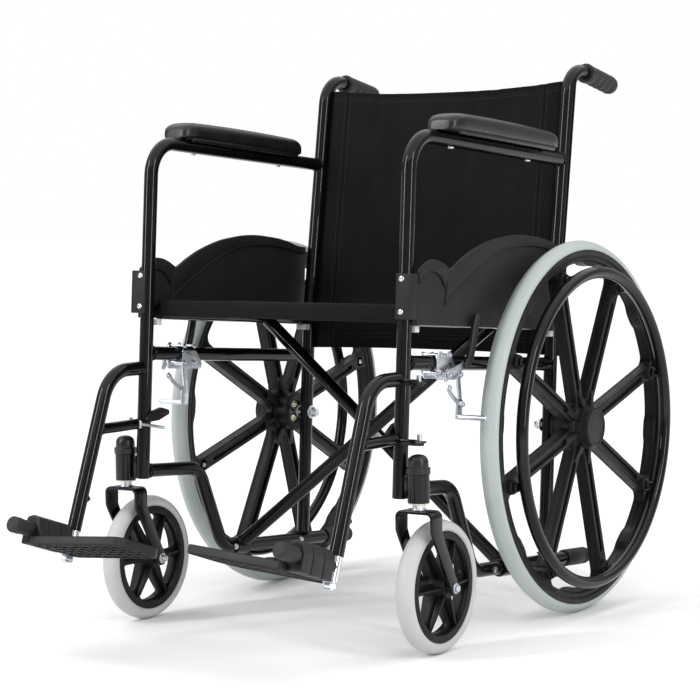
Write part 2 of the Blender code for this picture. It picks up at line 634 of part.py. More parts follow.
def slings():
    """The seat lies over both rails with a thick front hem, and the back is a web between posts."""
    wrap = 0.0136
    bore = TUBE_R + GAP
    under = SEAT_H + bore + 0.0006
    half = [(0.0, under), (HALF_WIDTH, under)]
    for i in range(1, 5):
        angle = math.radians(90.0 - 22.5 * i)
        half.append((HALF_WIDTH + bore * math.cos(angle), SEAT_H + bore * math.sin(angle)))
    half += [(HALF_WIDTH + bore, SEAT_H - 0.0065), (HALF_WIDTH + wrap, SEAT_H - 0.0065)]
    for i in range(4):
        angle = math.radians(22.0 * i)
        half.append((HALF_WIDTH + wrap * math.cos(angle), SEAT_H + wrap * math.sin(angle)))
    half += [(HALF_WIDTH - 0.004, SEAT_TOP_H - 0.0035), (HALF_WIDTH - 0.016, SEAT_TOP_H)]
    outline = half + [(-x, h) for x, h in reversed(half[1:])]
    start, end = SEAT_SLING_S
    columns = (Vector((1, 0, 0)), side(0, 0, 1) - side(0, 0, 0), side(0, -1, 0) - side(0, 0, 0))
    turn = Matrix(columns).transposed().to_4x4()
    place = Matrix.Translation(side(0, (start + end) / 2.0, 0)) @ turn
    seat = slab("seat_sling", outline, end - start, place, BLACK_CLOTH)
    hem_h = (SEAT_H - 0.0065 + SEAT_TOP_H - 0.001) / 2.0
    hem = block("hem", (2.0 * (HALF_WIDTH - bore - 0.0004), 0.016, SEAT_TOP_H - SEAT_H + 0.0055),
                side(0, start + 0.0081, hem_h), RAKED, BLACK_CLOTH)
    union(seat, hem)

    reach = 2.0 * (HALF_WIDTH - TUBE_R - GAP)
    thick = 0.0050
    line = [BACK_BOTTOM_H, RECLINE_START_H, BACK_TOP_H]
    front = [(rear_post_s(h) + 0.002, h) for h in line]
    back = [(rear_post_s(h) + 0.002 + thick, h) for h in reversed(line)]
    slab("back_sling", front + back, reach, across(1.0, side(0, 0, 0)), BLACK_CLOTH)


def build():
    for p, sx in (("right", -1.0), ("left", 1.0)):
        side_frame(p, sx)
        skirt_guard(p, sx)
        caster(p, sx)
        rear_wheel(p, sx)
        leg_support(p, sx)
        brake(p, sx)
    cross_brace()
    slings()


build()
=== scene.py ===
"""Looks for the folding manual wheelchair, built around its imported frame.

The chair faces -Y and the sitter's left is +X. Each side frame has flat coordinates of its own,
s along the rails towards the back and h up the posts, and leans back by RAKE. In the functions
below, p is a side's name and sx is its sign along X. All lengths are in metres.
"""

import math

import bmesh
import bpy
from mathutils import Matrix, Vector, noise


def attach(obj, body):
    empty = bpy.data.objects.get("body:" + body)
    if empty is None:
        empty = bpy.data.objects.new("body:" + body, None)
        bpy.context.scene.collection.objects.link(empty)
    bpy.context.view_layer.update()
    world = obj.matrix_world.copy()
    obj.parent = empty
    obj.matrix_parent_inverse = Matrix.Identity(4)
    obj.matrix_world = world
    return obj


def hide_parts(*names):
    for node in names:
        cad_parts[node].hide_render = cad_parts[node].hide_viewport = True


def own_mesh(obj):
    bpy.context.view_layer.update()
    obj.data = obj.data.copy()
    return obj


# Whole chair
RAKE = math.radians(4.1)
CENTRE_Y = 0.0488
HALF_WIDTH = 0.244
TUBE_R = 0.0111
TUBE_SIDES = 36
GAP = 0.0003

# Side frame, in s and h
POST_FRONT_S = -0.2925
POST_REAR_S = 0.165
POST_BOTTOM_H = 0.217
ARM_H = 0.758
ARM_BEND_R = 0.055
SIDE_RAIL_H = 0.418
LOWER_FRONT_H = 0.229
LOWER_H = 0.092
LOWER_DROP_S = (-0.146, -0.073)
LOWER_BEND_R = 0.042
LOWER_END_S = 0.308
RECLINE_START_H = 0.50
HANDLE_CORNER = (0.1995, 0.917)
HANDLE_END = (0.349, 0.8997)
HANDLE_BEND_R = 0.048
GRIP_START_S = 0.256
PAD_X = 0.2535
PAD_S = -0.057
PAD_LENGTH = 0.335
PAD_WIDTH = 0.060
GUARD_X = 0.2630
GUARD_BOTTOM_H = 0.475
GUARD_CLIP_H = 0.516

# Seat, back and cross brace
SEAT_H = 0.484
SADDLE_H = 0.4635
SEAT_RAIL_S = (-0.262, 0.148)
SEAT_SLING_S = (-0.274, 0.150)
SEAT_TOP_H = 0.5055
BACK_BOTTOM_H = 0.432
BACK_TOP_H = 0.894
BACK_SAG = 0.013
BRACE_S = (-0.027, 0.029)
BRACE_R = 0.011

# Rear wheel
WHEEL_Y = 0.1865
WHEEL_R = 0.305
WHEEL_X = 0.300
TYRE_HALF = 0.0157
WINDOW_R = 0.2695
DISC_R = 0.2765
DISC_SHIFT = -0.0010
WHEEL_STEPS = 192
SPOKE_HALF = 0.0112
SPOKES = 8
SPOKE_TURN = math.radians(6.0)
HANDRIM_R = 0.2531
HANDRIM_X = 0.3352
HANDRIM_TUBE_R = 0.0098

# Caster
STEM_X = 0.2778
STEM_Y = -0.277
TRAIL = 0.050
CASTER_R = 0.1009
CASTER_HALF = 0.01525
CASTER_SPOKES = 6
FORK_TOP_Z = 0.2223
FORK_HALF = 0.0325
FORK_THICK = 0.0048
FORK_CRANK_Z = 0.1905
HOUSING_Z = (0.2335, 0.2757)

# Leg support, in world y and z
HANGER_TOP = (-0.2800, 0.4145)
HANGER_CORNER = (-0.354, 0.4145)
HANGER_FOOT = (-0.4520, 0.1590)
HANGER_BEND_R = 0.062
STRUT_Z = 0.3260
HINGE_FRONT = (-0.5700, 0.1985)
TOE_UP = math.radians(18.0)
PLATE_TILT = math.radians(4.0)
PLATE_LENGTH = 0.172
PLATE_DEPTH = 0.116
PLATE_DROP = 0.0118
HINGE_R = 0.0095
LATCH_X = 0.2275
PIN_X = 0.274
PIN_Y = -0.267
PIN_Z = (0.4060, 0.3180)
LUG_R = 0.0070
POST_FRONT_Y = (-0.2750, -0.2815)

# Brake, in s and h
CLAMP_X = (0.2570, 0.2310)
CLAMP_S = (-0.213, -0.187)
LEVER_X = 0.2705
HANDLE_X = 0.2728
SHOE_X = 0.2645
LEVER_PIVOT = (-0.2085, 0.4015)
SHOE_PIVOT = (-0.1670, 0.4014)
SHOE_ROD = (-0.1653, 0.3366)
LEVER_KNEE = (-0.1450, 0.4300)

# Camera
CAMERA_AZIMUTH = math.radians(33.6266)
CAMERA_ELEVATION = math.radians(3.8661)
CAMERA_ROLL = math.radians(-0.5929)
CAMERA_TARGET = (0.038, -0.0948, 0.4406)
CAMERA_DISTANCE = 3.4824
CAMERA_LENS = 112.134
WORLD_GLOW = 0.45
SKY_POWER = 2.3

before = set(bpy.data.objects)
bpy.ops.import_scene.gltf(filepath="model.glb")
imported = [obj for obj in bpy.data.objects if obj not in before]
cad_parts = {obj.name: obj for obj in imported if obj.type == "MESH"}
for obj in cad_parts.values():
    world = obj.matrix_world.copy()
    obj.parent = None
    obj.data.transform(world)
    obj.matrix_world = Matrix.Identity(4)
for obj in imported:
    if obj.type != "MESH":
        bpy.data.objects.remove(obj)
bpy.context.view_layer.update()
RAKED = Matrix.Rotation(-RAKE, 4, "X")
UP = Vector((0, 0, 1))
OUT = Vector((1, 0, 0))
BACK = Vector((0, 1, 0))


# ---------------------------------------------------------------- places


def level(x, y, z):
    """A point in the world's axes, with the chair's length centred on the origin."""
    return Vector((x, y + CENTRE_Y, z))


def side(x, s, h):
    """A point of the raked side frame."""
    y = s * math.cos(RAKE) + h * math.sin(RAKE)
    z = -s * math.sin(RAKE) + h * math.cos(RAKE)
    return level(x, y, z)


ALONG = (side(0, 1, 0) - side(0, 0, 0)).normalized()
RISE = (side(0, 0, 1) - side(0, 0, 0)).normalized()


def axes(x_axis, y_axis, z_axis, origin):
    """A matrix with the given axes and origin."""
    turn = Matrix((x_axis, y_axis, z_axis)).transposed().to_4x4()
    return Matrix.Translation(origin) @ turn


def rear_post_s(h):
    """The rear post's centre line, which reclines above the seat."""
    slope = (HANDLE_CORNER[0] - POST_REAR_S) / (HANDLE_CORNER[1] - RECLINE_START_H)
    return POST_REAR_S + max(0.0, h - RECLINE_START_H) * slope


def rounded(points, radius, steps=14):
    """A path through the points with each inner corner turned on an arc."""
    path = [points[0]]
    for before, corner, after in zip(points, points[1:], points[2:]):
        a = (before - corner).normalized()
        b = (after - corner).normalized()
        half = a.angle(b) / 2.0
        centre = corner + (a + b).normalized() * (radius / math.sin(half))
        start = corner + a * (radius / math.tan(half)) - centre
        end = corner + b * (radius / math.tan(half)) - centre
        turn = start.angle(end)
        for i in range(steps + 1):
            t = i / steps
            spoke = start * math.sin((1.0 - t) * turn) + end * math.sin(t * turn)
            path.append(centre + spoke / math.sin(turn))
    path.append(points[-1])
    return path


# ---------------------------------------------------------------- shapes


def linked(name, data):
    """A new object in the scene."""
    made = bpy.data.objects.new(name, data)
    bpy.context.scene.collection.objects.link(made)
    return made


def mesh_from(bm, name):
    """A bmesh written into a new mesh."""
    mesh = bpy.data.meshes.new(name)
    bm.to_mesh(mesh)
    bm.free()
    return mesh


def finished(bm):
    """A mesh from a bmesh, with its faces turned outwards."""
    bmesh.ops.remove_doubles(bm, verts=bm.verts, dist=0.000005)
    bmesh.ops.recalc_face_normals(bm, faces=bm.faces)
    return mesh_from(bm, "shape")


def skin(bm, rings, ends=True):
    """Faces between rings of corners. Without ends, the last ring joins the first."""
    following = rings[1:] if ends else rings[1:] + rings[:1]
    for a, b in zip(rings, following):
        for k in range(len(a)):
            n = (k + 1) % len(a)
            bm.faces.new((a[k], a[n], b[n], b[k]))
    if ends:
        bm.faces.new(rings[0])
        bm.faces.new(rings[-1])


def swept(path, radius, sides=28):
    """A round bar along a path."""
    bm = bmesh.new()
    rings = []
    last = len(path) - 1
    tangent = (path[1] - path[0]).normalized()
    normal = tangent.orthogonal().normalized()
    if abs(tangent.x) < 0.9:
        normal = (OUT - tangent * OUT.dot(tangent)).normalized()
    for i, place in enumerate(path):
        ahead = path[min(i + 1, last)] - path[max(i - 1, 0)]
        ahead.normalize()
        normal = (normal - ahead * normal.dot(ahead)).normalized()
        other = ahead.cross(normal)
        ring = []
        for k in range(sides):
            angle = 2.0 * math.pi * k / sides
            offset = normal * math.cos(angle) + other * math.sin(angle)
            ring.append(bm.verts.new(place + offset * radius))
        rings.append(ring)
    skin(bm, rings)
    return finished(bm)


def tube(path, radius=TUBE_R):
    """A frame tube along a path."""
    return swept(path, radius, TUBE_SIDES)


def mirrored(half):
    """A turned profile made whole: the given half, then its mirror image across the middle."""
    return half + [(r, -along) for r, along in reversed(half) if along != 0.0]


def lathed(profile, origin, axis, steps=48):
    """A turned solid from (radius, distance along the axis) pairs."""
    lean = UP.rotation_difference(axis).to_matrix()
    closed = profile[0][0] > 0.0
    bm = bmesh.new()
    rings = []
    for r, along in profile:
        if r <= 0.0:
            rings.append([bm.verts.new(origin + lean @ Vector((0, 0, along)))])
            continue
        ring = []
        for k in range(steps):
            angle = 2.0 * math.pi * k / steps
            at = Vector((r * math.cos(angle), r * math.sin(angle), along))
            ring.append(bm.verts.new(origin + lean @ at))
        rings.append(ring)
    pairs = list(zip(rings, rings[1:]))
    if closed:
        pairs.append((rings[-1], rings[0]))
    for a, b in pairs:
        for k in range(steps):
            n = (k + 1) % steps
            corners = [a[k % len(a)], a[n % len(a)], b[n % len(b)], b[k % len(b)]]
            unique = list(dict.fromkeys(corners))
            if len(unique) > 2:
                bm.faces.new(unique)
    return finished(bm)


def boxed(size, centre, turn=Matrix(), bevel=0.001, segments=3):
    """A box with rounded edges."""
    bm = bmesh.new()
    bmesh.ops.create_cube(bm, size=1.0)
    bmesh.ops.scale(bm, vec=size, verts=bm.verts)
    if bevel > 0.0:
        bmesh.ops.bevel(bm, geom=bm.edges, offset=bevel, segments=segments,
                        affect="EDGES", profile=0.5)
    bm.transform(Matrix.Translation(centre) @ turn)
    return finished(bm)


def cut_out(outline, thickness, place, bevel=0.0008, holes=(), rounds=2):
    """A flat outline with holes, given a thickness and rounded edges, put down by a matrix."""
    curve = bpy.data.curves.new("outline", "CURVE")
    curve.dimensions = "2D"
    curve.fill_mode = "BOTH"
    curve.extrude = thickness / 2.0 - bevel
    curve.bevel_depth = bevel
    curve.bevel_resolution = rounds
    curve.offset = -bevel
    for ring in (outline, *holes):
        spline = curve.splines.new("POLY")
        spline.points.add(len(ring) - 1)
        for knot, (u, v) in zip(spline.points, ring):
            knot.co = (u, v, 0.0, 1.0)
        spline.use_cyclic_u = True
    holder = linked("outline", curve)
    graph = bpy.context.evaluated_depsgraph_get()
    mesh = bpy.data.meshes.new_from_object(holder.evaluated_get(graph))
    bpy.data.objects.remove(holder, do_unlink=True)
    bm = bmesh.new()
    bm.from_mesh(mesh)
    bm.transform(place)
    return finished(bm)


def circle(u, v, r, steps=32):
    """A flat ring of points."""
    return [(u + r * math.cos(2 * math.pi * k / steps), v + r * math.sin(2 * math.pi * k / steps))
            for k in range(steps)]


def soft_corners(points, radius, steps=6):
    """A closed flat outline with each corner turned on an arc."""
    ring = []
    count = len(points)
    for i in range(count):
        corner = Vector(points[i])
        a = (Vector(points[i - 1]) - corner).normalized()
        b = (Vector(points[(i + 1) % count]) - corner).normalized()
        half = a.angle(b) / 2.0
        r = radius[i] if isinstance(radius, (list, tuple)) else radius
        if r <= 0.0 or half > math.radians(88.0):
            ring.append(tuple(corner))
            continue
        start = corner + a * (r / math.tan(half))
        end = corner + b * (r / math.tan(half))
        centre = corner + (a + b).normalized() * (r / math.sin(half))
        first = start - centre
        last = end - centre
        turn = first.angle(last)
        for k in range(steps + 1):
            t = k / steps
            arm = first * math.sin((1.0 - t) * turn) + last * math.sin(t * turn)
            ring.append(tuple(centre + arm / math.sin(turn)))
    return ring


def smoothed(points, steps):
    """A smooth run through flat points."""
    ring = []
    padded_points = [points[0], *points, points[-1]]
    for i in range(1, len(padded_points) - 2):
        a, b, c, d = (Vector(q) for q in padded_points[i - 1:i + 3])
        for k in range(steps):
            t = k / steps
            at = 0.5 * ((2 * b) + (c - a) * t + (2 * a - 5 * b + 4 * c - d) * t * t
                        + (3 * b - a - 3 * c + d) * t ** 3)
            ring.append(tuple(at))
    ring.append(points[-1])
    return ring


def ribboned(path, half, grow=0.0):
    """A flat strip of the given half width along a flat path, with round ends."""
    left, right = [], []
    count = len(path)
    for i, point in enumerate(path):
        a = Vector(path[max(i - 1, 0)])
        b = Vector(path[min(i + 1, count - 1)])
        way = (b - a).normalized()
        normal = Vector((-way.y, way.x))
        wide = half + grow * math.sin(math.pi * i / (count - 1))
        left.append(tuple(Vector(point) + normal * wide))
        right.append(tuple(Vector(point) - normal * wide))
    ring = []

    def cap(point, way, start):
        for i in range(1, 8):
            angle = start + math.pi * i / 8.0
            turn = Matrix.Rotation(angle, 2)
            ring.append(tuple(Vector(point) + turn @ way * half))

    ring += right
    way = (Vector(path[-1]) - Vector(path[-2])).normalized()
    cap(path[-1], way, -math.pi / 2)
    ring += left[::-1]
    way = (Vector(path[0]) - Vector(path[1])).normalized()
    cap(path[0], way, -math.pi / 2)
    return ring


def handed(points, sx):
    """A flat outline mirrored to its side of the chair, still turning the same way round."""
    outline = [(sx * u, v) for u, v in points]
    return outline if sx > 0 else outline[::-1]


def rod(start, end, radius, steps=24, bevel=0.0006):
    """A plain round pin with rounded edges."""
    along = end - start
    n = along.length
    profile = [(0.0, 0.0), (radius - bevel, 0.0), (radius, bevel), (radius, n - bevel),
               (radius - bevel, n), (0.0, n)]
    return lathed(profile, start, along.normalized(), steps)


def hex_head(place, axis, size=0.0055, height=0.0045, washer=0.0085):
    """A bolt head on a washer: a six-sided prism with a turned crown."""
    lean = UP.rotation_difference(axis).to_matrix().to_4x4()
    ring = [(size * math.cos(math.pi * k / 3), size * math.sin(math.pi * k / 3)) for k in range(6)]
    start = 0.0012 if washer else 0.0
    where = Matrix.Translation(place + axis * (start + height / 2)) @ lean
    shapes = [cut_out(ring, height, where, 0.0004)]
    if washer:
        shapes.append(rod(place, place + axis * 0.0013, washer, 28, 0.0003))
    dome = [(size * 0.80, 0.0), (size * 0.72, 0.0008), (size * 0.4, 0.0012), (0.0, 0.0013)]
    shapes.append(lathed(dome[::-1] + [(0.0, 0.0)], place + axis * (start + height - 0.0001),
                         axis, 20))
    return shapes


def pan_head(place, axis, radius=0.0045, height=0.0028):
    """A low round screw head with a round recess."""
    profile = [(0.0, 0.0), (radius, 0.0), (radius, height * 0.35), (radius * 0.86, height * 0.72),
               (radius * 0.55, height * 0.95), (radius * 0.3, height), (radius * 0.22, height * 0.6),
               (0.0, height * 0.5)]
    return [lathed(profile, place, axis, 24)]


def dome_nut(place, axis, size=0.0085, height=0.0075, dome=0.0065):
    """A lock nut with a rounded collar."""
    shapes = hex_head(place, axis, size=size, height=height, washer=size * 1.35)
    collar = [(0.0, 0.0), (dome, 0.0), (dome, 0.0020), (dome * 0.86, 0.0034), (dome * 0.5, 0.0040),
              (0.0, 0.0042)]
    shapes.append(lathed(collar, place + axis * (height + 0.0010), axis, 28))
    return shapes


# ---------------------------------------------------------------- pieces


def piece(name, shapes, coat, body, stands_for="", sharp=32.0, soften=0):
    """One object of the given shapes, riding on a body, in its coat's material."""
    shapes = shapes if isinstance(shapes, list) else [shapes]
    bm = bmesh.new()
    for shape in shapes:
        bm.from_mesh(shape)
        bpy.data.meshes.remove(shape)
    mesh = mesh_from(bm, name)
    mesh.materials.append(COAT[coat])
    made = linked(name, mesh)
    mesh.shade_smooth()
    mesh.set_sharp_from_angle(angle=math.radians(sharp))
    if soften:
        smooth = made.modifiers.new("soften", "SUBSURF")
        smooth.levels = soften
        smooth.render_levels = soften
    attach(made, body)
    if stands_for:
        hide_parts(stands_for)
    return made


def applied(made):
    """The object with its modifiers turned into mesh."""
    graph = bpy.context.evaluated_depsgraph_get()
    mesh = bpy.data.meshes.new_from_object(made.evaluated_get(graph))
    made.modifiers.clear()
    made.data = mesh
    return made


# ---------------------------------------------------------------- materials


class Coat:
    """A node material in the making: a Principled shader with procedural inputs."""

    def __init__(self, name, colour, roughness, metallic=0.0):
        self.material = bpy.data.materials.new(name)
        self.material.use_nodes = True
        self.tree = self.material.node_tree
        self.shader = self.tree.nodes["Principled BSDF"]
        self.shader.inputs["Base Color"].default_value = (*colour, 1.0)
        self.shader.inputs["Roughness"].default_value = roughness
        self.shader.inputs["Metallic"].default_value = metallic
        self.colour = colour
        self.height = None
        place = self.tree.nodes.new("ShaderNodeTexCoord")
        self.place = place.outputs["Object"]

    def node(self, kind, **values):
        """A new node. Underscores in the names of its inputs stand for spaces."""
        made = self.tree.nodes.new(kind)
        for key, value in values.items():
            made.inputs[key.replace("_", " ")].default_value = value
        return made

    def link(self, a, b):
        self.tree.links.new(a, b)

    def set(self, **values):
        """Values of the shader's own inputs."""
        for key, value in values.items():
            self.shader.inputs[key.replace("_", " ")].default_value = value
        return self

    def noise(self, scale, detail=4.0, stretch=(1.0, 1.0, 1.0)):
        """Cloudy values over the surface."""
        lay = self.node("ShaderNodeMapping", Scale=stretch)
        self.link(self.place, lay.inputs["Vector"])
        cloud = self.node("ShaderNodeTexNoise", Scale=scale, Detail=detail, Roughness=0.55)
        self.link(lay.outputs["Vector"], cloud.inputs["Vector"])
        return cloud.outputs["Fac"]

    def spread(self, value, low, high):
        """Maps the middle of a noise's values onto a range."""
        made = self.node("ShaderNodeMapRange", From_Min=0.3, From_Max=0.7, To_Min=low, To_Max=high)
        self.link(value, made.inputs["Value"])
        return made.outputs["Result"]

    def tint(self, value, other):
        """Colour varies between the base colour and another one."""
        blend = self.tree.nodes.new("ShaderNodeMix")
        blend.data_type = "RGBA"
        blend.inputs["A"].default_value = (*self.colour, 1.0)
        blend.inputs["B"].default_value = (*other, 1.0)
        self.link(value, blend.inputs["Factor"])
        self.link(blend.outputs["Result"], self.shader.inputs["Base Color"])
        return self

    def rough(self, value, low, high):
        """Roughness varies within a range."""
        self.link(self.spread(value, low, high), self.shader.inputs["Roughness"])
        return self

    def bump(self, value, distance):
        """Fine relief, on top of any relief that the coat already has."""
        made = self.node("ShaderNodeBump", Strength=1.0, Distance=distance)
        self.link(value, made.inputs["Height"])
        if self.height is not None:
            self.link(self.height, made.inputs["Normal"])
        self.height = made.outputs["Normal"]
        self.link(self.height, self.shader.inputs["Normal"])
        return self

    def weave(self, pitch, distance):
        """Crossed threads: two sets of fine waves, one along each direction of the cloth."""
        waves = []
        for direction in ("X", "Z"):
            wave = self.node("ShaderNodeTexWave", Scale=0.5 / pitch, Distortion=0.6, Detail=1.0)
            wave.wave_type = "BANDS"
            wave.bands_direction = direction
            self.link(self.place, wave.inputs["Vector"])
            waves.append(wave.outputs["Fac"])
        threads = self.product(*waves)
        self.bump(threads, distance)
        return threads

    def product(self, a, b):
        """Two values multiplied."""
        made = self.node("ShaderNodeMath")
        made.operation = "MULTIPLY"
        self.link(a, made.inputs[0])
        self.link(b, made.inputs[1])
        return made.outputs["Value"]


def coated(name, colour, roughness, rough, tint=None, bump=None, metallic=0.0, **values):
    """A coat with uneven gloss, faint patches of a second colour and a fine grain.

    rough is (scale, detail, low, high), tint (scale, detail, colour), bump (scale, detail, depth).
    """
    coat = Coat(name, colour, roughness, metallic)
    coat.set(**values)
    scale, detail, low, high = rough
    coat.rough(coat.noise(scale, detail), low, high)
    if tint:
        scale, detail, other = tint
        coat.tint(coat.spread(coat.noise(scale, detail), 0.0, 1.0), other)
    if bump:
        scale, detail, depth = bump
        coat.bump(coat.noise(scale, detail), depth)
    return coat


def woven():
    """The slings' cloth: a weave whose raised threads are painted a paler tone in patches, a painted
    sheen.
    """
    cloth = Coat("woven_black_nylon", (0.0075, 0.0071, 0.0073), 0.78)
    cloth.set(Sheen_Weight=0.02, Sheen_Roughness=0.45, Specular_IOR_Level=0.10)
    threads = cloth.weave(0.0011, 0.00018)
    cloth.rough(cloth.noise(18.0), 0.68, 0.88)
    # Painted sheen: the raised thread crests are painted paler, in patches, where light would catch
    # them.
    patches = cloth.spread(cloth.noise(6.0), 0.4, 1.0)
    return cloth.tint(cloth.product(threads, patches), (0.0125, 0.0120, 0.0123))


def materials():
    """All materials, by the short names that piece() takes."""
    thread = Coat("stitching_thread", (0.0080, 0.0078, 0.0080), 0.65)
    thread.bump(thread.noise(1800.0, 2.0, (1.0, 0.3, 1.0)), 0.0001)
    made = {
        "cloth": woven(),
        "thread": thread,
        "paint": coated("gloss_black_paint", (0.0028, 0.0028, 0.0032), 0.18,
                        (24.0, 4.0, 0.11, 0.22), (7.0, 4.0, (0.0044, 0.0042, 0.0040)),
                        (420.0, 2.0, 0.00006), Coat_Weight=0.28, Coat_Roughness=0.04,
                        Specular_IOR_Level=0.15),
        "nylon": coated("moulded_black_nylon", (0.0060, 0.0060, 0.0065), 0.40,
                        (38.0, 4.0, 0.34, 0.50), (11.0, 4.0, (0.0085, 0.0084, 0.0086)),
                        (1500.0, 3.0, 0.00010), Specular_IOR_Level=0.20),
        "guard": coated("grained_dark_plastic", (0.0128, 0.0128, 0.0142), 0.46,
                        (30.0, 4.0, 0.42, 0.56), (9.0, 4.0, (0.0165, 0.0165, 0.0178)),
                        (1100.0, 4.0, 0.00016), Specular_IOR_Level=0.18),
        "plate": coated("ribbed_grey_black_plastic", (0.0150, 0.0150, 0.0165), 0.46,
                        (28.0, 4.0, 0.44, 0.58), (10.0, 4.0, (0.0195, 0.0195, 0.0208)),
                        (1100.0, 4.0, 0.00016), Specular_IOR_Level=0.30),
        "soft": coated("soft_black_polyurethane", (0.0075, 0.0075, 0.0086), 0.36,
                       (26.0, 4.0, 0.22, 0.34), (14.0, 4.0, (0.0105, 0.0105, 0.0115)),
                       (900.0, 3.0, 0.00012), Specular_IOR_Level=0.40),
        "rubber": coated("dark_grip_rubber", (0.0150, 0.0152, 0.0162), 0.56,
                         (40.0, 4.0, 0.52, 0.70), (20.0, 4.0, (0.0200, 0.0200, 0.0210)),
                         (800.0, 4.0, 0.00018), Specular_IOR_Level=0.35),
        "tyre": coated("pale_grey_tyre", (0.370, 0.412, 0.410), 0.52, (22.0, 4.0, 0.44, 0.62),
                       (9.0, 6.0, (0.425, 0.465, 0.460)), (700.0, 4.0, 0.00014)),
        "white": coated("off_white_tyre", (0.440, 0.440, 0.433), 0.46, (22.0, 4.0, 0.38, 0.56),
                        (16.0, 6.0, (0.500, 0.498, 0.492)), (700.0, 4.0, 0.00012)),
        "zinc": coated("bright_zinc", (0.66, 0.68, 0.71), 0.28, (90.0, 5.0, 0.20, 0.40),
                       (60.0, 3.0, (0.52, 0.56, 0.62)), (500.0, 3.0, 0.00005), metallic=1.0),
        "chrome": coated("polished_chrome", (0.78, 0.79, 0.80), 0.10, (120.0, 3.0, 0.07, 0.16),
                         metallic=1.0),
        "brass": coated("yellow_zinc", (0.62, 0.52, 0.26), 0.30, (150.0, 3.0, 0.24, 0.42),
                        metallic=1.0),
        "cream": coated("cream_washer", (0.66, 0.60, 0.46), 0.55, (200.0, 3.0, 0.48, 0.64)),
        "pale": coated("pale_nylon", (0.62, 0.62, 0.61), 0.45, (160.0, 3.0, 0.38, 0.54), None,
                       (900.0, 3.0, 0.0001)),
    }
    return {key: coat.material for key, coat in made.items()}


COAT = materials()


# ---------------------------------------------------------------- side frames


def weld_bead(centre, axis, radius=TUBE_R + 0.0004, size=0.0016):
    """A weld run round a tube's end: a thin ring that is uneven along its length."""
    lean = UP.rotation_difference(axis).to_matrix()
    bm = bmesh.new()
    steps, around = 60, 8
    rings = []
    for i in range(steps):
        angle = 2.0 * math.pi * i / steps
        thick = size * (1.0 + 0.28 * math.sin(angle * 15.0))
        ring = []
        for k in range(around):
            turn = 2.0 * math.pi * k / around
            r = radius + thick * math.cos(turn)
            at = Vector((r * math.cos(angle), r * math.sin(angle), thick * math.sin(turn)))
            ring.append(bm.verts.new(centre + lean @ at))
        rings.append(ring)
    skin(bm, rings, ends=False)
    return finished(bm)


def side_frame(p, sx):
    """One side's welded tubes with their bolts, the axle, and what is pushed on or screwed on."""
    x = sx * HALF_WIDTH
    body = f"{p}_frame"
    front = POST_FRONT_S
    clear = TUBE_R + GAP

    arm_end = rear_post_s(ARM_H) - TUBE_R * 0.6
    corners = [side(x, front, POST_BOTTOM_H), side(x, front, ARM_H), side(x, arm_end, ARM_H)]
    shapes = [tube(rounded(corners, ARM_BEND_R))]
    for z in PIN_Z:
        lug = [(HALF_WIDTH, -LUG_R), (PIN_X, -LUG_R)]
        for i in range(9):
            angle = math.radians(-90.0 + 22.5 * i)
            lug.append((PIN_X + LUG_R * math.cos(angle), LUG_R * math.sin(angle)))
        lug += [(PIN_X, LUG_R), (HALF_WIDTH, LUG_R)]
        outline = [(sx * u, v) for u, v in lug]
        shapes.append(cut_out(outline, 0.0030, Matrix.Translation(level(0, PIN_Y, z)), 0.0005))
        shapes.append(rod(level(sx * PIN_X, PIN_Y, z), level(sx * PIN_X, PIN_Y, z + 0.0050), 0.0035))
    shapes.append(weld_bead(side(x, arm_end - 0.0040, ARM_H), ALONG))
    piece(f"{p}_front_post_and_arm", shapes, "paint", body, f"{p}_arm_tube")
    plug = rod(side(x, front, POST_BOTTOM_H - 0.0008), side(x, front, POST_BOTTOM_H + 0.002),
               TUBE_R * 0.82)
    piece(f"{p}_post_plug", plug, "nylon", body)

    corners = [side(x, POST_REAR_S, LOWER_H + clear), side(x, POST_REAR_S, RECLINE_START_H),
               side(x, *HANDLE_CORNER), side(x, *HANDLE_END)]
    path = corners[:1] + rounded(corners[:3], 0.30, 6)[1:-1] + rounded(corners[1:], HANDLE_BEND_R)[1:]
    shapes = [tube(path), weld_bead(side(x, POST_REAR_S, LOWER_H + clear + 0.001), RISE)]
    piece(f"{p}_back_cane", shapes, "paint", body, f"{p}_back_post")

    ends = [side(x, front + clear * 0.6, SIDE_RAIL_H), side(x, POST_REAR_S - clear * 0.6, SIDE_RAIL_H)]
    shapes = [tube(ends), weld_bead(side(x, front + clear + 0.001, SIDE_RAIL_H), ALONG),
              weld_bead(side(x, POST_REAR_S - clear - 0.001, SIDE_RAIL_H), ALONG)]
    piece(f"{p}_upper_rail", shapes, "paint", body, f"{p}_side_rail")

    corners = [side(x, front + clear * 0.6, LOWER_FRONT_H), side(x, LOWER_DROP_S[0], LOWER_FRONT_H),
               side(x, LOWER_DROP_S[1], LOWER_H), side(x, LOWER_END_S, LOWER_H)]
    shapes = [tube(rounded(corners, LOWER_BEND_R)),
              weld_bead(side(x, front + clear + 0.001, LOWER_FRONT_H), ALONG)]
    piece(f"{p}_bottom_rail", shapes, "paint", body, f"{p}_lower_rail")

    push_grip(p, x, body)
    tip_cap(p, x, body)
    arm_pad(p, sx, body)
    seat_guides(p, sx, body)
    frame_bolts(p, sx, body)
    wheel_axle(p, sx, body)


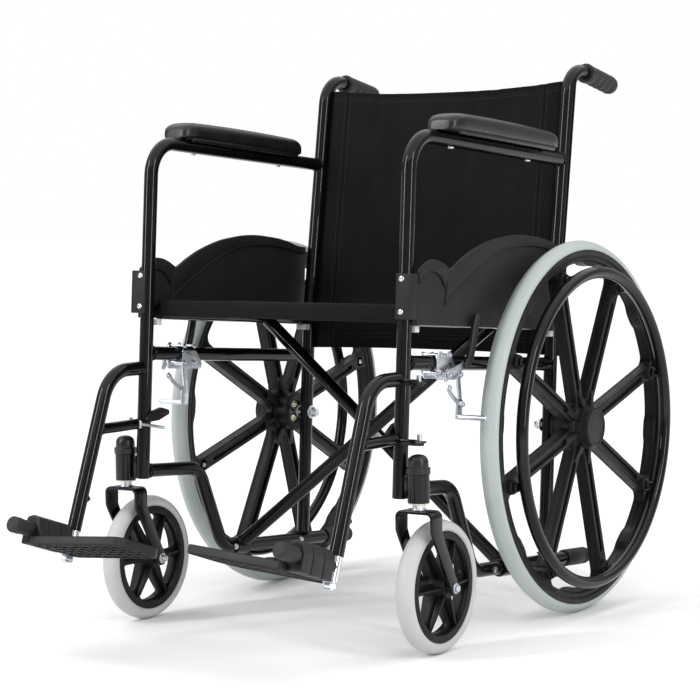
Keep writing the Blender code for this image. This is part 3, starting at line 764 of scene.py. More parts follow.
def frame_bolts(p, sx, body):
    """Screws under the armrest, bolts on the lower rail, the axle's nut and the hanger pins."""
    bolts = []
    for s in (-0.1805, 0.0600):
        bolts += pan_head(side(sx * 0.2475, s, ARM_H - TUBE_R + 0.0003), -RISE, radius=0.0046,
                          height=0.0030)
    for s in (-0.020, 0.016):
        bolts += hex_head(side(sx * (HALF_WIDTH + TUBE_R - 0.0008), s, LOWER_H), OUT * sx,
                          size=0.0050, height=0.0036, washer=0.0)
    for s in (-0.0505, 0.1425):
        bolts += hex_head(side(sx * (HALF_WIDTH - TUBE_R + 0.0008), s, LOWER_H), OUT * -sx,
                          size=0.0050, height=0.0036, washer=0.0)
    bolts += dome_nut(level(sx * (HALF_WIDTH - TUBE_R + 0.0005), WHEEL_Y, WHEEL_R), OUT * -sx,
                      size=0.0085, height=0.0080, dome=0.0070)
    for z in PIN_Z:
        bolts.append(rod(level(sx * PIN_X, PIN_Y, z + 0.0051), level(sx * PIN_X, PIN_Y, z + 0.0150),
                         0.0036))
    piece(f"{p}_frame_bolts", bolts, "zinc", body)


def wheel_axle(p, sx, body):
    """The rear wheel's axle with its stepped spacer."""
    spacer = [(0.0064, 0.0255), (0.0100, 0.0255), (0.0104, 0.0262), (0.0104, 0.0335),
              (0.0095, 0.0345), (0.0064, 0.0345)]
    shift = [(r, a - 0.0140) for r, a in spacer]
    axle = [rod(level(sx * 0.2200, WHEEL_Y, WHEEL_R), level(sx * 0.3200, WHEEL_Y, WHEEL_R), 0.0060),
            lathed(shift, level(sx * HALF_WIDTH, WHEEL_Y, WHEEL_R), OUT * sx, 32)]
    piece(f"{p}_wheel_axle", axle, "zinc", body, f"{p}_rear_axle")


def push_grip(p, x, body):
    """A moulded handle grip with finger grooves below, a collar and a rounded end."""
    outer = [(0.0, 0.1005), (0.0070, 0.1003), (0.0118, 0.0990), (0.0147, 0.0958), (0.0156, 0.0915)]
    waves = 4
    steps = 56
    far, near = 0.0880, 0.0140
    for i in range(steps + 1):
        outer.append((0.0160, far - (far - near) * i / steps))
    outer += [(0.0160, 0.0100), (0.0166, 0.0080), (0.0168, 0.0020), (0.0162, 0.0), (0.0112, 0.0),
              (0.0112, 0.0960), (0.0, 0.0960)]
    run = (side(x, *HANDLE_END) - side(x, *HANDLE_CORNER)).normalized()
    start = side(x, *HANDLE_CORNER) + run * (GRIP_START_S - HANDLE_CORNER[0])
    grip = lathed(outer, start, run, 48)
    below = (UP - run * UP.dot(run)).normalized() * -1.0
    for vertex in grip.vertices:
        arm = vertex.co - start
        along = arm.dot(run)
        away = arm - run * along
        if away.length < 0.0150 or not near < along < far:
            continue
        facing = max(0.0, away.normalized().dot(below) + 0.25) / 1.25
        wave = 0.5 - 0.5 * math.cos(2.0 * math.pi * waves * (along - near) / (far - near))
        vertex.co -= away.normalized() * 0.0024 * wave * min(1.0, 1.6 * facing)
    piece(f"{p}_handle_grip", grip, "rubber", body, f"{p}_push_grip")


def tip_cap(p, x, body):
    """A thick rubber cap on the tipping tube, with a shallow band and a domed end."""
    outer = [(0.0, 0.0812), (0.0060, 0.0808), (0.0105, 0.0790), (0.0132, 0.0755), (0.0141, 0.0705),
             (0.0142, 0.0620), (0.0137, 0.0612), (0.0137, 0.0560), (0.0142, 0.0552),
             (0.0142, 0.0060), (0.0138, 0.0008), (0.0130, 0.0), (0.0112, 0.0), (0.0112, 0.0775),
             (0.0, 0.0775)]
    start = side(x, LOWER_END_S - 0.0775, LOWER_H)
    piece(f"{p}_tipping_cap", lathed(outer, start, ALONG, 44), "rubber", body, f"{p}_tip_cap")


def arm_pad(p, sx, body):
    """A moulded pad: crowned across, arched along, with a nose that drops at the front."""
    length, width = PAD_LENGTH, PAD_WIDTH
    stations, around = 44, 28
    bm = bmesh.new()
    rings = []
    for i in range(stations + 1):
        t = 0.5 - 0.5 * math.cos(math.pi * i / stations)
        along = -length / 2.0 + length * t
        end = min(t, 1.0 - t) * length
        reach = min(end / 0.030, 1.0)
        taper = math.sqrt(max(0.0, 1.0 - (1.0 - reach) ** 2))
        narrow = 0.55 + 0.45 * taper
        base = 0.0002
        top = 0.0297 - 0.0030 * abs(2.0 * t - 0.92) ** 2.2
        height = (top - base) * (0.45 + 0.55 * taper)
        half = width / 2.0 * narrow
        ring = []
        for k in range(around):
            angle = 2.0 * math.pi * k / around
            c, s = math.cos(angle), math.sin(angle)
            u = math.copysign(abs(c) ** 0.55, c) * half
            power = 0.62 if s > 0 else 0.30
            v = math.copysign(abs(s) ** power, s)
            v = base + height * (0.40 + (0.60 * v if s > 0 else 0.40 * v))
            ring.append(bm.verts.new(side(sx * PAD_X + u, PAD_S + along, ARM_H + TUBE_R + v)))
        rings.append(ring)
    skin(bm, rings)
    pad = piece(f"{p}_arm_pad", finished(bm), "soft", body, f"{p}_armrest_pad", sharp=60.0,
                soften=1)
    loop = soft_corners([(-0.0245, -0.160), (0.0245, -0.160), (0.0245, 0.160), (-0.0245, 0.160)],
                        0.010)
    place = axes(OUT, ALONG, RISE, side(sx * PAD_X, PAD_S, ARM_H + TUBE_R + 0.0014))
    base = [cut_out(loop, 0.0024, place, 0.0006)]
    for u in (-0.0235, 0.0235):
        lip = side(sx * PAD_X + u, PAD_S, ARM_H + TUBE_R - 0.0010)
        base.append(boxed((0.0080, 0.300, 0.0080), lip, RAKED, 0.0030))
    piece(f"{p}_pad_base", base, "soft", body)


def seat_guides(p, sx, body):
    """Pale saddles that hold the seat rails' ends, on the front and rear posts."""
    shapes = []
    for s in (POST_FRONT_S + 0.0190, POST_REAR_S - 0.0185):
        outline = soft_corners([(-0.0105, 0.0), (0.0105, 0.0), (0.0105, 0.0105), (0.0, 0.0085),
                                (-0.0105, 0.0105)], 0.0015, 3)
        place = axes(OUT, RISE, -ALONG, side(sx * HALF_WIDTH, s, SADDLE_H))
        shapes.append(cut_out(outline, 0.0120, place, 0.0006))
    piece(f"{p}_seat_saddles", shapes, "pale", body)


# ---------------------------------------------------------------- side guards


def side_guard(p, sx):
    """A moulded panel: a long arch with a raised band, a notch and a raised leaf at the front."""
    body = f"{p}_frame"
    arch = smoothed([(0.174, 0.6110), (0.151, 0.6120), (0.121, 0.6180), (0.092, 0.6220),
                     (0.055, 0.6240), (0.020, 0.6245), (-0.015, 0.6220), (-0.050, 0.6165),
                     (-0.088, 0.6085), (-0.134, 0.5930), (-0.168, 0.5770), (-0.190, 0.5645),
                     (-0.199, 0.5605)], 4)
    leaf = smoothed([(-0.199, 0.5605), (-0.208, 0.5640), (-0.222, 0.5700), (-0.240, 0.5732),
                     (-0.258, 0.5722), (-0.276, 0.5640), (-0.2912, 0.5530)], 4)
    outline = [(-0.2912, GUARD_BOTTOM_H), (0.174, GUARD_BOTTOM_H)] + arch + leaf[1:]

    def panel(ring, thick, shift, bevel):
        place = axes(ALONG, RISE, OUT, side(sx * (GUARD_X + shift), 0, 0))
        return cut_out(ring, thick, place, bevel)

    lower = smoothed([(-0.214, 0.5065), (-0.193, 0.5220), (-0.130, 0.5590), (-0.078, 0.5845),
                      (-0.024, 0.6020), (0.046, 0.6090), (0.105, 0.6070), (0.171, 0.5990)], 5)
    band = lower + [(s, h - 0.0008) for s, h in arch if s < 0.172] + [(-0.207, 0.5570)]
    crease = smoothed([(-0.214, 0.5320), (-0.228, 0.5480), (-0.250, 0.5560), (-0.272, 0.5500),
                       (-0.2890, 0.5370)], 5)
    petal = [(s, h - 0.0008) for s, h in leaf[2:-1]]
    raised = crease + [(-0.2890, 0.5515)] + petal[::-1]
    shapes = [panel(outline, 0.0024, 0.0, 0.0009)]
    for shift in (-0.0019, 0.0019):
        shapes.append(panel(band, 0.0030, shift, 0.0013))
        shapes.append(panel(raised, 0.0030, shift, 0.0013))
        for line in (lower, crease):
            run = [side(sx * (GUARD_X + 1.8 * shift), s, h) for s, h in line]
            shapes.append(swept(run, 0.0012, 10))
    piece(f"{p}_side_guard", shapes, "guard", body, f"{p}_skirt_guard")

    hook = [(0.2370, -0.3092), (0.2645, -0.3092), (0.2645, -0.2915), (0.2612, -0.2915),
            (0.2612, -0.2752), (0.2554, -0.2752), (0.2554, -0.3039), (0.2370, -0.3039)]
    outline = soft_corners(handed(hook, sx), 0.0014, 3)
    place = axes(OUT, ALONG, RISE, side(0, 0, GUARD_CLIP_H))
    piece(f"{p}_guard_clip", cut_out(outline, 0.068, place, 0.0010), "guard", body,
          f"{p}_guard_bracket")
    screws = []
    for h in (0.493, 0.542):
        screws += pan_head(side(sx * 0.2467, -0.3090, h), -ALONG, radius=0.0044, height=0.0026)
    piece(f"{p}_clip_screws", screws, "zinc", body)


# ---------------------------------------------------------------- casters


def caster(p, sx):
    """The stem's housing and cap on the frame, then the fork, its axle and its wheel."""
    x = sx * STEM_X
    frame_body = f"{p}_frame"
    fork_body = f"{p}_fork"
    wheel_body = f"{p}_caster"
    base, top = HOUSING_Z
    place = level(x, STEM_Y, base)
    tall = top - base
    sleeve = [(0.0088, 0.0), (0.0160, 0.0), (0.0165, 0.0006), (0.0165, tall - 0.0006),
              (0.0160, tall), (0.0088, tall)]
    inner = HALF_WIDTH + TUBE_R - 0.0020
    web = boxed((STEM_X - 0.0140 - inner, 0.0085, 0.034),
                level(sx * (STEM_X - 0.0140 + inner) / 2.0, STEM_Y + 0.0015, 0.2555), Matrix(),
                0.0010)
    shapes = [lathed(sleeve, place, UP, 48), web]
    piece(f"{p}_stem_housing", shapes, "paint", frame_body, f"{p}_caster_housing")
    dome = [(0.0, 0.0290), (0.0040, 0.0288), (0.0085, 0.0277), (0.0120, 0.0255), (0.0142, 0.0222),
            (0.0152, 0.0180), (0.0154, 0.0105), (0.0160, 0.0098), (0.0176, 0.0095),
            (0.0181, 0.0088), (0.0181, 0.0006), (0.0176, 0.0), (0.0, 0.0)]
    piece(f"{p}_stem_cap", lathed(dome, level(x, STEM_Y, top + GAP), UP, 48), "soft", frame_body,
          f"{p}_caster_cap")
    cream = [(0.0082, 0.0), (0.0158, 0.0), (0.0163, 0.0008), (0.0158, 0.0016), (0.0082, 0.0016)]
    piece(f"{p}_dust_washer", lathed(cream, level(x, STEM_Y, base - 0.0018), UP, 40), "cream",
          frame_body)

    nut = FORK_TOP_Z + GAP
    stem = [(0.0, 0.0), (0.0112, 0.0), (0.0118, 0.0008), (0.0112, 0.0018), (0.0092, 0.0022),
            (0.0092, 0.0074), (0.0104, 0.0078), (0.0104, 0.0090), (0.0080, 0.0094),
            (0.0080, 0.0470), (0.0, 0.0478)]
    piece(f"{p}_stem_bolt", lathed(stem, level(x, STEM_Y, nut), UP, 40), "zinc", fork_body,
          f"{p}_caster_stem")
    piece(f"{p}_fork", fork_shape(x), "paint", fork_body, f"{p}_caster_fork", sharp=40.0)

    axle_y = STEM_Y + TRAIL
    centre = level(x, axle_y, CASTER_R)
    reach = OUT * (sx * FORK_HALF)
    bolts = [rod(centre - OUT * FORK_HALF, centre + OUT * FORK_HALF, 0.0040)]
    bolts += hex_head(centre + reach, OUT * sx, size=0.0062, height=0.0040,
                      washer=0.0078)
    bolts += dome_nut(centre - reach, OUT * -sx, size=0.0062, height=0.0045,
                      dome=0.0046)
    piece(f"{p}_caster_bolt", bolts, "zinc", fork_body, f"{p}_caster_axle")
    caster_wheel(p, sx, centre, wheel_body)


def fork_shape(x):
    """A bent steel strap: up one side, over the top and down the other, cranked to the axle."""
    thick = FORK_THICK
    half = FORK_HALF - thick / 2.0
    top = FORK_TOP_Z - thick / 2.0
    bend = 0.0085
    run = [(half, 0.0894, 0.0040), (half, 0.0905, 0.0110), (half, 0.0925, 0.0160),
           (half, 0.0960, 0.0205), (half, 0.1009, 0.0228), (half, 0.1060, 0.0232)]
    for i in range(9):
        z = 0.1120 + i * 0.0100
        run.append((half, z, 0.0235 + 0.0045 * min(1.0, i / 8.0)))
    run.append((half, top - bend, 0.0290))
    for i in range(1, 8):
        angle = math.radians(90.0 * i / 7.0)
        run.append((half - bend + bend * math.cos(angle), top - bend + bend * math.sin(angle),
                    0.0292 + 0.0006 * i / 7.0))
    run.append((0.0, top, 0.0300))
    whole = run + [(-u, z, w) for u, z, w in reversed(run[:-1])]
    bm = bmesh.new()
    rings = []
    last = len(whole) - 1
    for i, (u, z, wide) in enumerate(whole):
        u0, z0, _ = whole[max(i - 1, 0)]
        u1, z1, _ = whole[min(i + 1, last)]
        along = Vector((u1 - u0, 0, z1 - z0)).normalized()
        across = Vector((-along.z, 0, along.x))
        lean = max(0.0, min(1.0, (FORK_CRANK_Z - z) / (FORK_CRANK_Z - CASTER_R)))
        ease = lean if lean > 0.08 else lean * lean / 0.08
        y = STEM_Y + TRAIL * min(1.0, ease)
        centre = level(x + u, y, z)
        ring = []
        for a, b in ((-1, -1), (1, -1), (1, 1), (-1, 1)):
            corner = centre + across * (a * thick / 2.0) + BACK * (b * wide / 2.0)
            ring.append(bm.verts.new(corner))
        rings.append(ring)
    skin(bm, rings)
    bmesh.ops.recalc_face_normals(bm, faces=bm.faces)
    sharp = [e for e in bm.edges if len(e.link_faces) == 2 and e.calc_face_angle() > 0.9]
    bmesh.ops.bevel(bm, geom=sharp, offset=0.0011, segments=3, affect="EDGES", profile=0.5)
    return finished(bm)


def fan_window(spoke_half, spokes, inner_round, outer_r, outer_round, bump=0.0, steps=28):
    """The opening between two spokes, centred on the first axis, with rounded corners."""
    wedge = math.pi / spokes
    ring = []
    centre = (spoke_half + inner_round) / math.sin(wedge)
    for i in range(9):
        angle = math.pi / 2 + wedge + (math.pi - 2 * wedge) * i / 8.0
        ring.append((centre + inner_round * math.cos(angle), inner_round * math.sin(angle)))
    reach = outer_r - outer_round
    off = spoke_half + outer_round
    corner_angle = wedge - math.asin(off / reach)
    low = Vector((reach * math.cos(-corner_angle), reach * math.sin(-corner_angle)))
    start = -math.pi / 2 - wedge
    end = -corner_angle
    for i in range(8):
        angle = start + (end - start) * i / 7.0
        ring.append((low.x + outer_round * math.cos(angle), low.y + outer_round * math.sin(angle)))
    for i in range(1, steps):
        angle = -corner_angle + 2.0 * corner_angle * i / steps
        r = outer_r - bump * math.exp(-((angle / wedge) / 0.20) ** 4)
        ring.append((r * math.cos(angle), r * math.sin(angle)))
    high = Vector((low.x, -low.y))
    for i in range(8):
        angle = -end + (end - start) * i / 7.0
        ring.append((high.x + outer_round * math.cos(angle),
                     high.y + outer_round * math.sin(angle)))
    return ring


def turned_ring(ring, angle):
    """A flat ring turned about the origin."""
    c, s = math.cos(angle), math.sin(angle)
    return [(u * c - v * s, u * s + v * c) for u, v in ring]


def spoke_ways(count, turn=0.0):
    """The direction of each spoke, out from the hub."""
    for k in range(count):
        angle = 2.0 * math.pi * (k + 0.5) / count + turn
        yield Vector((0, math.sin(angle), math.cos(angle)))


def caster_wheel(p, sx, centre, body):
    """A moulded wheel with flat spokes, a rib on each, and a pale tread."""
    out = OUT * sx
    face = axes(UP, BACK, -OUT, centre)
    window = fan_window(0.0065, CASTER_SPOKES, 0.0060, 0.0700, 0.0110)
    step = 2.0 * math.pi / CASTER_SPOKES
    holes = [turned_ring(window, step * k) for k in range(CASTER_SPOKES)]
    shapes = [cut_out(circle(0, 0, 0.0745, 96), 0.0075, face, 0.0010, holes)]
    rim = [(0.0730, -0.0030), (0.0722, -0.0125), (0.0735, -0.0135), (0.0775, -0.0135),
           (0.0790, -0.0125), (0.0825, -0.0128), (0.0850, -0.0118)]
    shapes.append(lathed(mirrored(rim), centre, out, 96))
    hub = [(0.0, -0.0225), (0.0125, -0.0225), (0.0155, -0.0215), (0.0160, -0.0200),
           (0.0165, -0.0100), (0.0200, -0.0040)]
    shapes.append(lathed(mirrored(hub), centre, out, 48))
    blade = [(0.0130, 0.0), (0.0130, 0.0190), (0.0200, 0.0185), (0.0730, 0.0110), (0.0745, 0.0)]
    for outward in spoke_ways(CASTER_SPOKES):
        for up in (-OUT, OUT):
            place = axes(outward, up, outward.cross(up), centre)
            shapes.append(cut_out(blade, 0.0034, place, 0.0007))
    piece(f"{p}_caster_core", shapes, "nylon", body, f"{p}_caster_wheel")
    half = CASTER_HALF
    tread = [(0.0840, 0.0120), (0.0862, 0.0142), (0.0885, half), (0.0925, half - 0.0004),
             (0.0958, half - 0.0024), (0.0985, half - 0.0058), (0.1001, 0.0052), (CASTER_R, 0.0)]
    piece(f"{p}_caster_tread", lathed(mirrored(tread), centre, out, 112), "white", body,
          f"{p}_caster_tyre", sharp=50.0)


# ---------------------------------------------------------------- rear wheels


def rear_wheel(p, sx):
    """A moulded wheel with grooved spokes, a solid tyre and a handrim on stand-offs."""
    out = OUT * sx
    body = f"{p}_wheel"
    centre = level(sx * WHEEL_X, WHEEL_Y, WHEEL_R)
    wheel_casting(p, sx, centre, body)
    wheel_fittings(p, out, centre, body)
    half = TYRE_HALF
    tread = [(0.2880, 0.0140), (0.2898, 0.0150), (0.2912, half), (0.2945, half + 0.0001),
             (0.2972, half - 0.0014), (0.2998, half - 0.0040), (0.3022, half - 0.0082),
             (0.3042, 0.0040), (WHEEL_R, 0.0)]
    piece(f"{p}_tyre", lathed(mirrored(tread), centre, out, 224), "tyre", body, f"{p}_rear_tyre",
          sharp=50.0)
    handrim(p, out, centre, body)


def wheel_casting(p, sx, centre, body):
    """The wheel's disc with its spokes and grooves, its rim, hub, bosses and ribs."""
    out = OUT * sx

    def face(offset):
        spin = BACK * sx
        return axes(spin, UP, spin.cross(UP), centre + out * offset)

    window = fan_window(SPOKE_HALF, SPOKES, 0.0085, WINDOW_R, 0.0150, 0.0058)
    wider = fan_window(SPOKE_HALF - 0.0004, SPOKES, 0.0088, WINDOW_R + 0.0004, 0.0152, 0.0058)
    step = 2.0 * math.pi / SPOKES
    slew = -sx * SPOKE_TURN
    holes = [turned_ring(window, step * k + slew) for k in range(SPOKES)]
    wide_holes = [turned_ring(wider, step * k + slew) for k in range(SPOKES)]
    groove = soft_corners([(0.0640, -0.0052), (0.2250, -0.0040), (0.2250, 0.0040),
                           (0.0640, 0.0052)], 0.0036, 5)
    grooves = [turned_ring(groove, step * (k + 0.5) + slew) for k in range(SPOKES)]
    disc = circle(0, 0, DISC_R, WHEEL_STEPS)
    shapes = [cut_out(disc, 0.0120, face(DISC_SHIFT), 0.0008, wide_holes)]
    for skin_shift in (-0.0080, 0.0080):
        shapes.append(cut_out(disc, 0.0050, face(DISC_SHIFT + skin_shift), 0.0013,
                              holes + grooves, 3))
    rim = [(0.2722, -0.0120), (0.2735, -0.0135), (0.2768, -0.0137), (0.2775, -0.0128),
           (0.2800, -0.0128), (0.2808, -0.0146), (0.2838, -0.0157), (0.2895, -0.0157),
           (0.2903, -0.0148)]
    shapes.append(lathed(mirrored(rim), centre, out, WHEEL_STEPS))
    hub = [(0.0, -0.0255), (0.0200, -0.0255), (0.0205, -0.0350), (0.0215, -0.0355),
           (0.0325, -0.0355), (0.0340, -0.0345), (0.0345, -0.0300), (0.0335, -0.0290),
           (0.0335, -0.0150), (0.0370, -0.0120), (0.0385, -0.0100), (0.0385, 0.0095),
           (0.0370, 0.0110), (0.0358, 0.0130), (0.0352, 0.0215), (0.0345, 0.0220),
           (0.0338, 0.0215), (0.0330, 0.0240), (0.0325, 0.0305), (0.0312, 0.0328),
           (0.0290, 0.0335), (0.0278, 0.0332), (0.0265, 0.0322), (0.0, 0.0318)]
    shapes.append(lathed(hub, centre, out, 72))
    boss = [(0.0, -0.0115), (0.0088, -0.0115), (0.0120, -0.0100), (0.0125, 0.0),
            (0.0125, 0.0105), (0.0118, 0.0140), (0.0102, 0.0165), (0.0078, 0.0165), (0.0, 0.0160)]
    rib = [(0.0360, 0.0), (0.0360, 0.0150), (0.0640, 0.0085), (0.0640, 0.0)]
    for outward in spoke_ways(SPOKES, SPOKE_TURN):
        shapes.append(lathed(boss, centre + outward * HANDRIM_R, out, 32))
        for sign in (-1.0, 1.0):
            place = axes(outward, out * sign, outward.cross(out * sign),
                         centre + out * (sign * 0.0020))
            shapes.append(cut_out(rib, 0.0100, place, 0.0012))
    piece(f"{p}_wheel_casting", shapes, "nylon", body, f"{p}_rear_wheel")


def wheel_fittings(p, out, centre, body):
    """The stand-offs' screws on the inner side, and the hub's bearing with its shield."""
    screws = []
    for outward in spoke_ways(SPOKES, SPOKE_TURN):
        screws += pan_head(centre + outward * HANDRIM_R - out * 0.0115, -out, radius=0.0042,
                           height=0.0022)
    race = [(0.0075, -0.0258), (0.0110, -0.0258), (0.0110, -0.0288), (0.0102, -0.0292),
            (0.0075, -0.0292)]
    outer_race = [(0.0155, -0.0250), (0.0190, -0.0250), (0.0190, -0.0286), (0.0160, -0.0290)]
    screws += [lathed(race, centre, out, 48), lathed(outer_race, centre, out, 48)]
    piece(f"{p}_wheel_screws", screws, "zinc", body)
    cage = [(0.0112, -0.0256), (0.0155, -0.0256), (0.0155, -0.0278), (0.0134, -0.0284),
            (0.0112, -0.0278)]
    piece(f"{p}_bearing_shield", lathed(cage, centre, out, 48), "brass", body)


def handrim(p, out, centre, body):
    """A tube ring outside the wheel, on a turned stand-off at each spoke."""
    hoop = circle(HANDRIM_R, HANDRIM_X - WHEEL_X, HANDRIM_TUBE_R, 28)
    shapes = [lathed(hoop, centre, out, 200)]
    stand = [(0.0, 0.0168), (0.0076, 0.0168), (0.0080, 0.0176), (0.0080, 0.0205),
             (0.0070, 0.0215), (0.0066, 0.0240), (0.0072, 0.0275), (0.0085, 0.0300), (0.0, 0.0320)]
    for outward in spoke_ways(SPOKES, SPOKE_TURN):
        shapes.append(lathed(stand, centre + outward * HANDRIM_R, out, 28))
    piece(f"{p}_hand_rim", shapes, "paint", body, f"{p}_handrim", sharp=50.0)


# ---------------------------------------------------------------- leg supports


def leg_support(p, sx):
    """A bent hanger hooked on the frame's pins, with a chrome extension and a hinge bar."""
    x = sx * HALF_WIDTH
    body = f"{p}_legrest"
    foot_way = (level(x, *HANGER_FOOT) - level(x, *HANGER_CORNER)).normalized()
    sleeve_end = level(x, *HANGER_FOOT) - foot_way * 0.0170
    corners = [level(x, *HANGER_TOP), level(x, *HANGER_CORNER), sleeve_end]
    shapes = [tube(rounded(corners, HANGER_BEND_R, 18))]
    shapes.append(rod(level(x, -0.3860, STRUT_Z), level(x, -0.2880, STRUT_Z), 0.0085, 28))
    shapes.append(rod(level(x, -0.4180, 0.2190), level(x, -0.4105, 0.2215), 0.0050, 20))
    shapes.append(weld_bead(level(x, -0.3790, STRUT_Z), BACK, 0.0088, 0.0013))
    for z, post_y in zip(PIN_Z, POST_FRONT_Y):
        base_z = z + 0.0020
        front_y = post_y - 0.0100
        back_y = PIN_Y + 0.0080
        wide = [(0.2315, front_y), (0.2825, front_y), (0.2825, back_y), (0.2710, back_y),
                (0.2710, post_y - 0.0012), (0.2315, post_y - 0.0012)]
        outline = soft_corners(handed(wide, sx), 0.0028, 4)
        shapes.append(cut_out(outline, 0.0030, Matrix.Translation(level(0, 0, base_z + 0.0015)),
                              0.0005))
        shapes.append(boxed((0.0500, 0.0070, 0.0075),
                            level(sx * 0.2565, post_y - 0.0060, base_z + 0.0040), Matrix(), 0.0020))
    piece(f"{p}_hanger_tube", shapes, "paint", body, f"{p}_hanger", sharp=40.0)

    hinge_axis = Vector((0, -math.cos(TOE_UP), math.sin(TOE_UP)))
    hinge_front = level(x, *HINGE_FRONT)
    foot = level(x, *HANGER_FOOT)
    chrome = [rod(sleeve_end - foot_way * 0.0040, foot + foot_way * 0.0210, 0.0098, 32)]
    chrome.append(rod(sleeve_end - foot_way * 0.0002, sleeve_end + foot_way * 0.0012, 0.0102))
    piece(f"{p}_chrome_extension", chrome, "chrome", body)
    nut = dome_nut(foot + foot_way * 0.0210, foot_way, size=0.0094, height=0.0080, dome=0.0080)
    piece(f"{p}_extension_nut", nut, "zinc", body)
    bar = [rod(hinge_front - hinge_axis * 0.1180, hinge_front, HINGE_R, 36)]
    plug = [(0.0, 0.0165), (0.0068, 0.0163), (0.0072, 0.0156), (0.0092, 0.0156), (0.0106, 0.0152),
            (0.0120, 0.0138), (0.0124, 0.0120), (0.0124, -0.0010), (0.0116, -0.0018),
            (0.0116, -0.0236), (0.0108, -0.0242), (0.0, -0.0242)]
    bar.append(lathed(plug, hinge_front, hinge_axis, 44))
    piece(f"{p}_hinge_plug", bar, "rubber", body)

    latch_lever(p, sx)
    footplate(p, sx, hinge_front, hinge_axis)


def latch_lever(p, sx):
    """The catch that frees the leg support: a bright bar with a black thumb paddle."""
    body = f"{p}_latch"
    droop = Matrix.Rotation(math.radians(-11.0), 4, "X")
    bar = boxed((0.0055, 0.0600, 0.0050), level(sx * LATCH_X, -0.2700, 0.3222), droop, 0.0010)
    pin = rod(level(sx * LATCH_X, -0.3000, 0.3210), level(sx * LATCH_X, -0.3000, 0.3335), 0.0022)
    piece(f"{p}_latch_bar", [bar, pin], "zinc", body, f"{p}_latch_lever")
    wedge = soft_corners([(-0.2840, 0.3290), (-0.2560, 0.3300), (-0.2290, 0.3380),
                          (-0.2300, 0.3450), (-0.2480, 0.3500), (-0.2680, 0.3460),
                          (-0.2830, 0.3360)], 0.0030, 5)
    place = axes(BACK, UP, OUT, level(sx * LATCH_X, 0, 0))
    piece(f"{p}_latch_paddle", cut_out(wedge, 0.0085, place, 0.0014), "nylon", body)


def footplate(p, sx, hinge_front, hinge_axis):
    """A moulded plate: a skin with a raised edge, a ribbed underside and a hinge knuckle."""
    body = f"{p}_plate"
    flat = Matrix.Rotation(-TOE_UP, 4, "X")
    lean = Matrix.Rotation(sx * PLATE_TILT, 4, "Y")
    middle = hinge_front - hinge_axis * 0.0710
    down = flat @ Vector((0, 0, -1))
    inner = Vector((-sx, 0, 0))
    centre = middle + inner * (0.0135 + PLATE_LENGTH / 2.0) + down * PLATE_DROP
    turn = flat @ lean
    place = Matrix.Translation(centre) @ turn
    near, far = sx * PLATE_LENGTH / 2.0, -sx * PLATE_LENGTH / 2.0
    deep = PLATE_DEPTH / 2.0
    corners = [(near, -deep), (near, deep), (far * 0.80, deep), (far, deep * 0.55),
               (far, -deep * 0.72), (far * 0.92, -deep)]
    radii = [0.004, 0.004, 0.020, 0.016, 0.012, 0.010]
    if sx > 0:
        corners.reverse()
        radii.reverse()
    outline = soft_corners(corners, radii, 7)
    inset = [(u * 0.965, v * 0.950) for u, v in outline]
    top = place @ Matrix.Translation((0, 0, 0.0040))
    shapes = [cut_out(outline, 0.0050, top, 0.0022, (), 4)]
    wall = place @ Matrix.Translation((0, 0, -0.0004))
    shapes.append(cut_out(outline, 0.0132, wall, 0.0026, [inset], 4))
    rib, tall, below = 0.0020, 0.0095, -0.0012
    for i in range(1, 9):
        at = place @ Vector((-PLATE_LENGTH / 2.0 + i * PLATE_LENGTH / 9.0, 0, below))
        shapes.append(boxed((rib, PLATE_DEPTH * 0.93, tall), at, turn, 0.0004))
    for i in range(1, 6):
        at = place @ Vector((0, -deep + i * PLATE_DEPTH / 6.0, below))
        shapes.append(boxed((PLATE_LENGTH * 0.93, rib, tall), at, turn, 0.0004))
    for i in range(9):
        u = -PLATE_LENGTH * 0.38 + i * PLATE_LENGTH * 0.095
        at = place @ Vector((u, 0, 0.0064))
        shapes.append(boxed((0.0035, PLATE_DEPTH * 0.74, 0.0014), at, turn, 0.0006))

    knuckle = hinge_front - hinge_axis * 0.0650 + inner * 0.0015
    section = [(0.0150, -0.0230), (0.0150, 0.0060), (0.0110, 0.0190), (0.0, 0.0225),
               (-0.0110, 0.0190), (-0.0155, 0.0040), (-0.0200, -0.0060), (-0.0200, -0.0230)]
    section = soft_corners(handed(section, sx), 0.0030, 4)
    up = -down
    bearing = axes(OUT, up, OUT.cross(up), knuckle)
    for start, length in ((0.0270, 0.0220), (0.0, 0.0260), (-0.0270, 0.0220)):
        shifted = Matrix.Translation(hinge_axis * start) @ bearing
        shapes.append(cut_out(section, length, shifted, 0.0012))
    slim = [(u * 0.90, v * 0.93) for u, v in section]
    shapes.append(cut_out(slim, 0.0760, bearing, 0.0010))
    piece(f"{p}_foot_plate", shapes, "plate", body, f"{p}_footplate")


# ---------------------------------------------------------------- brakes


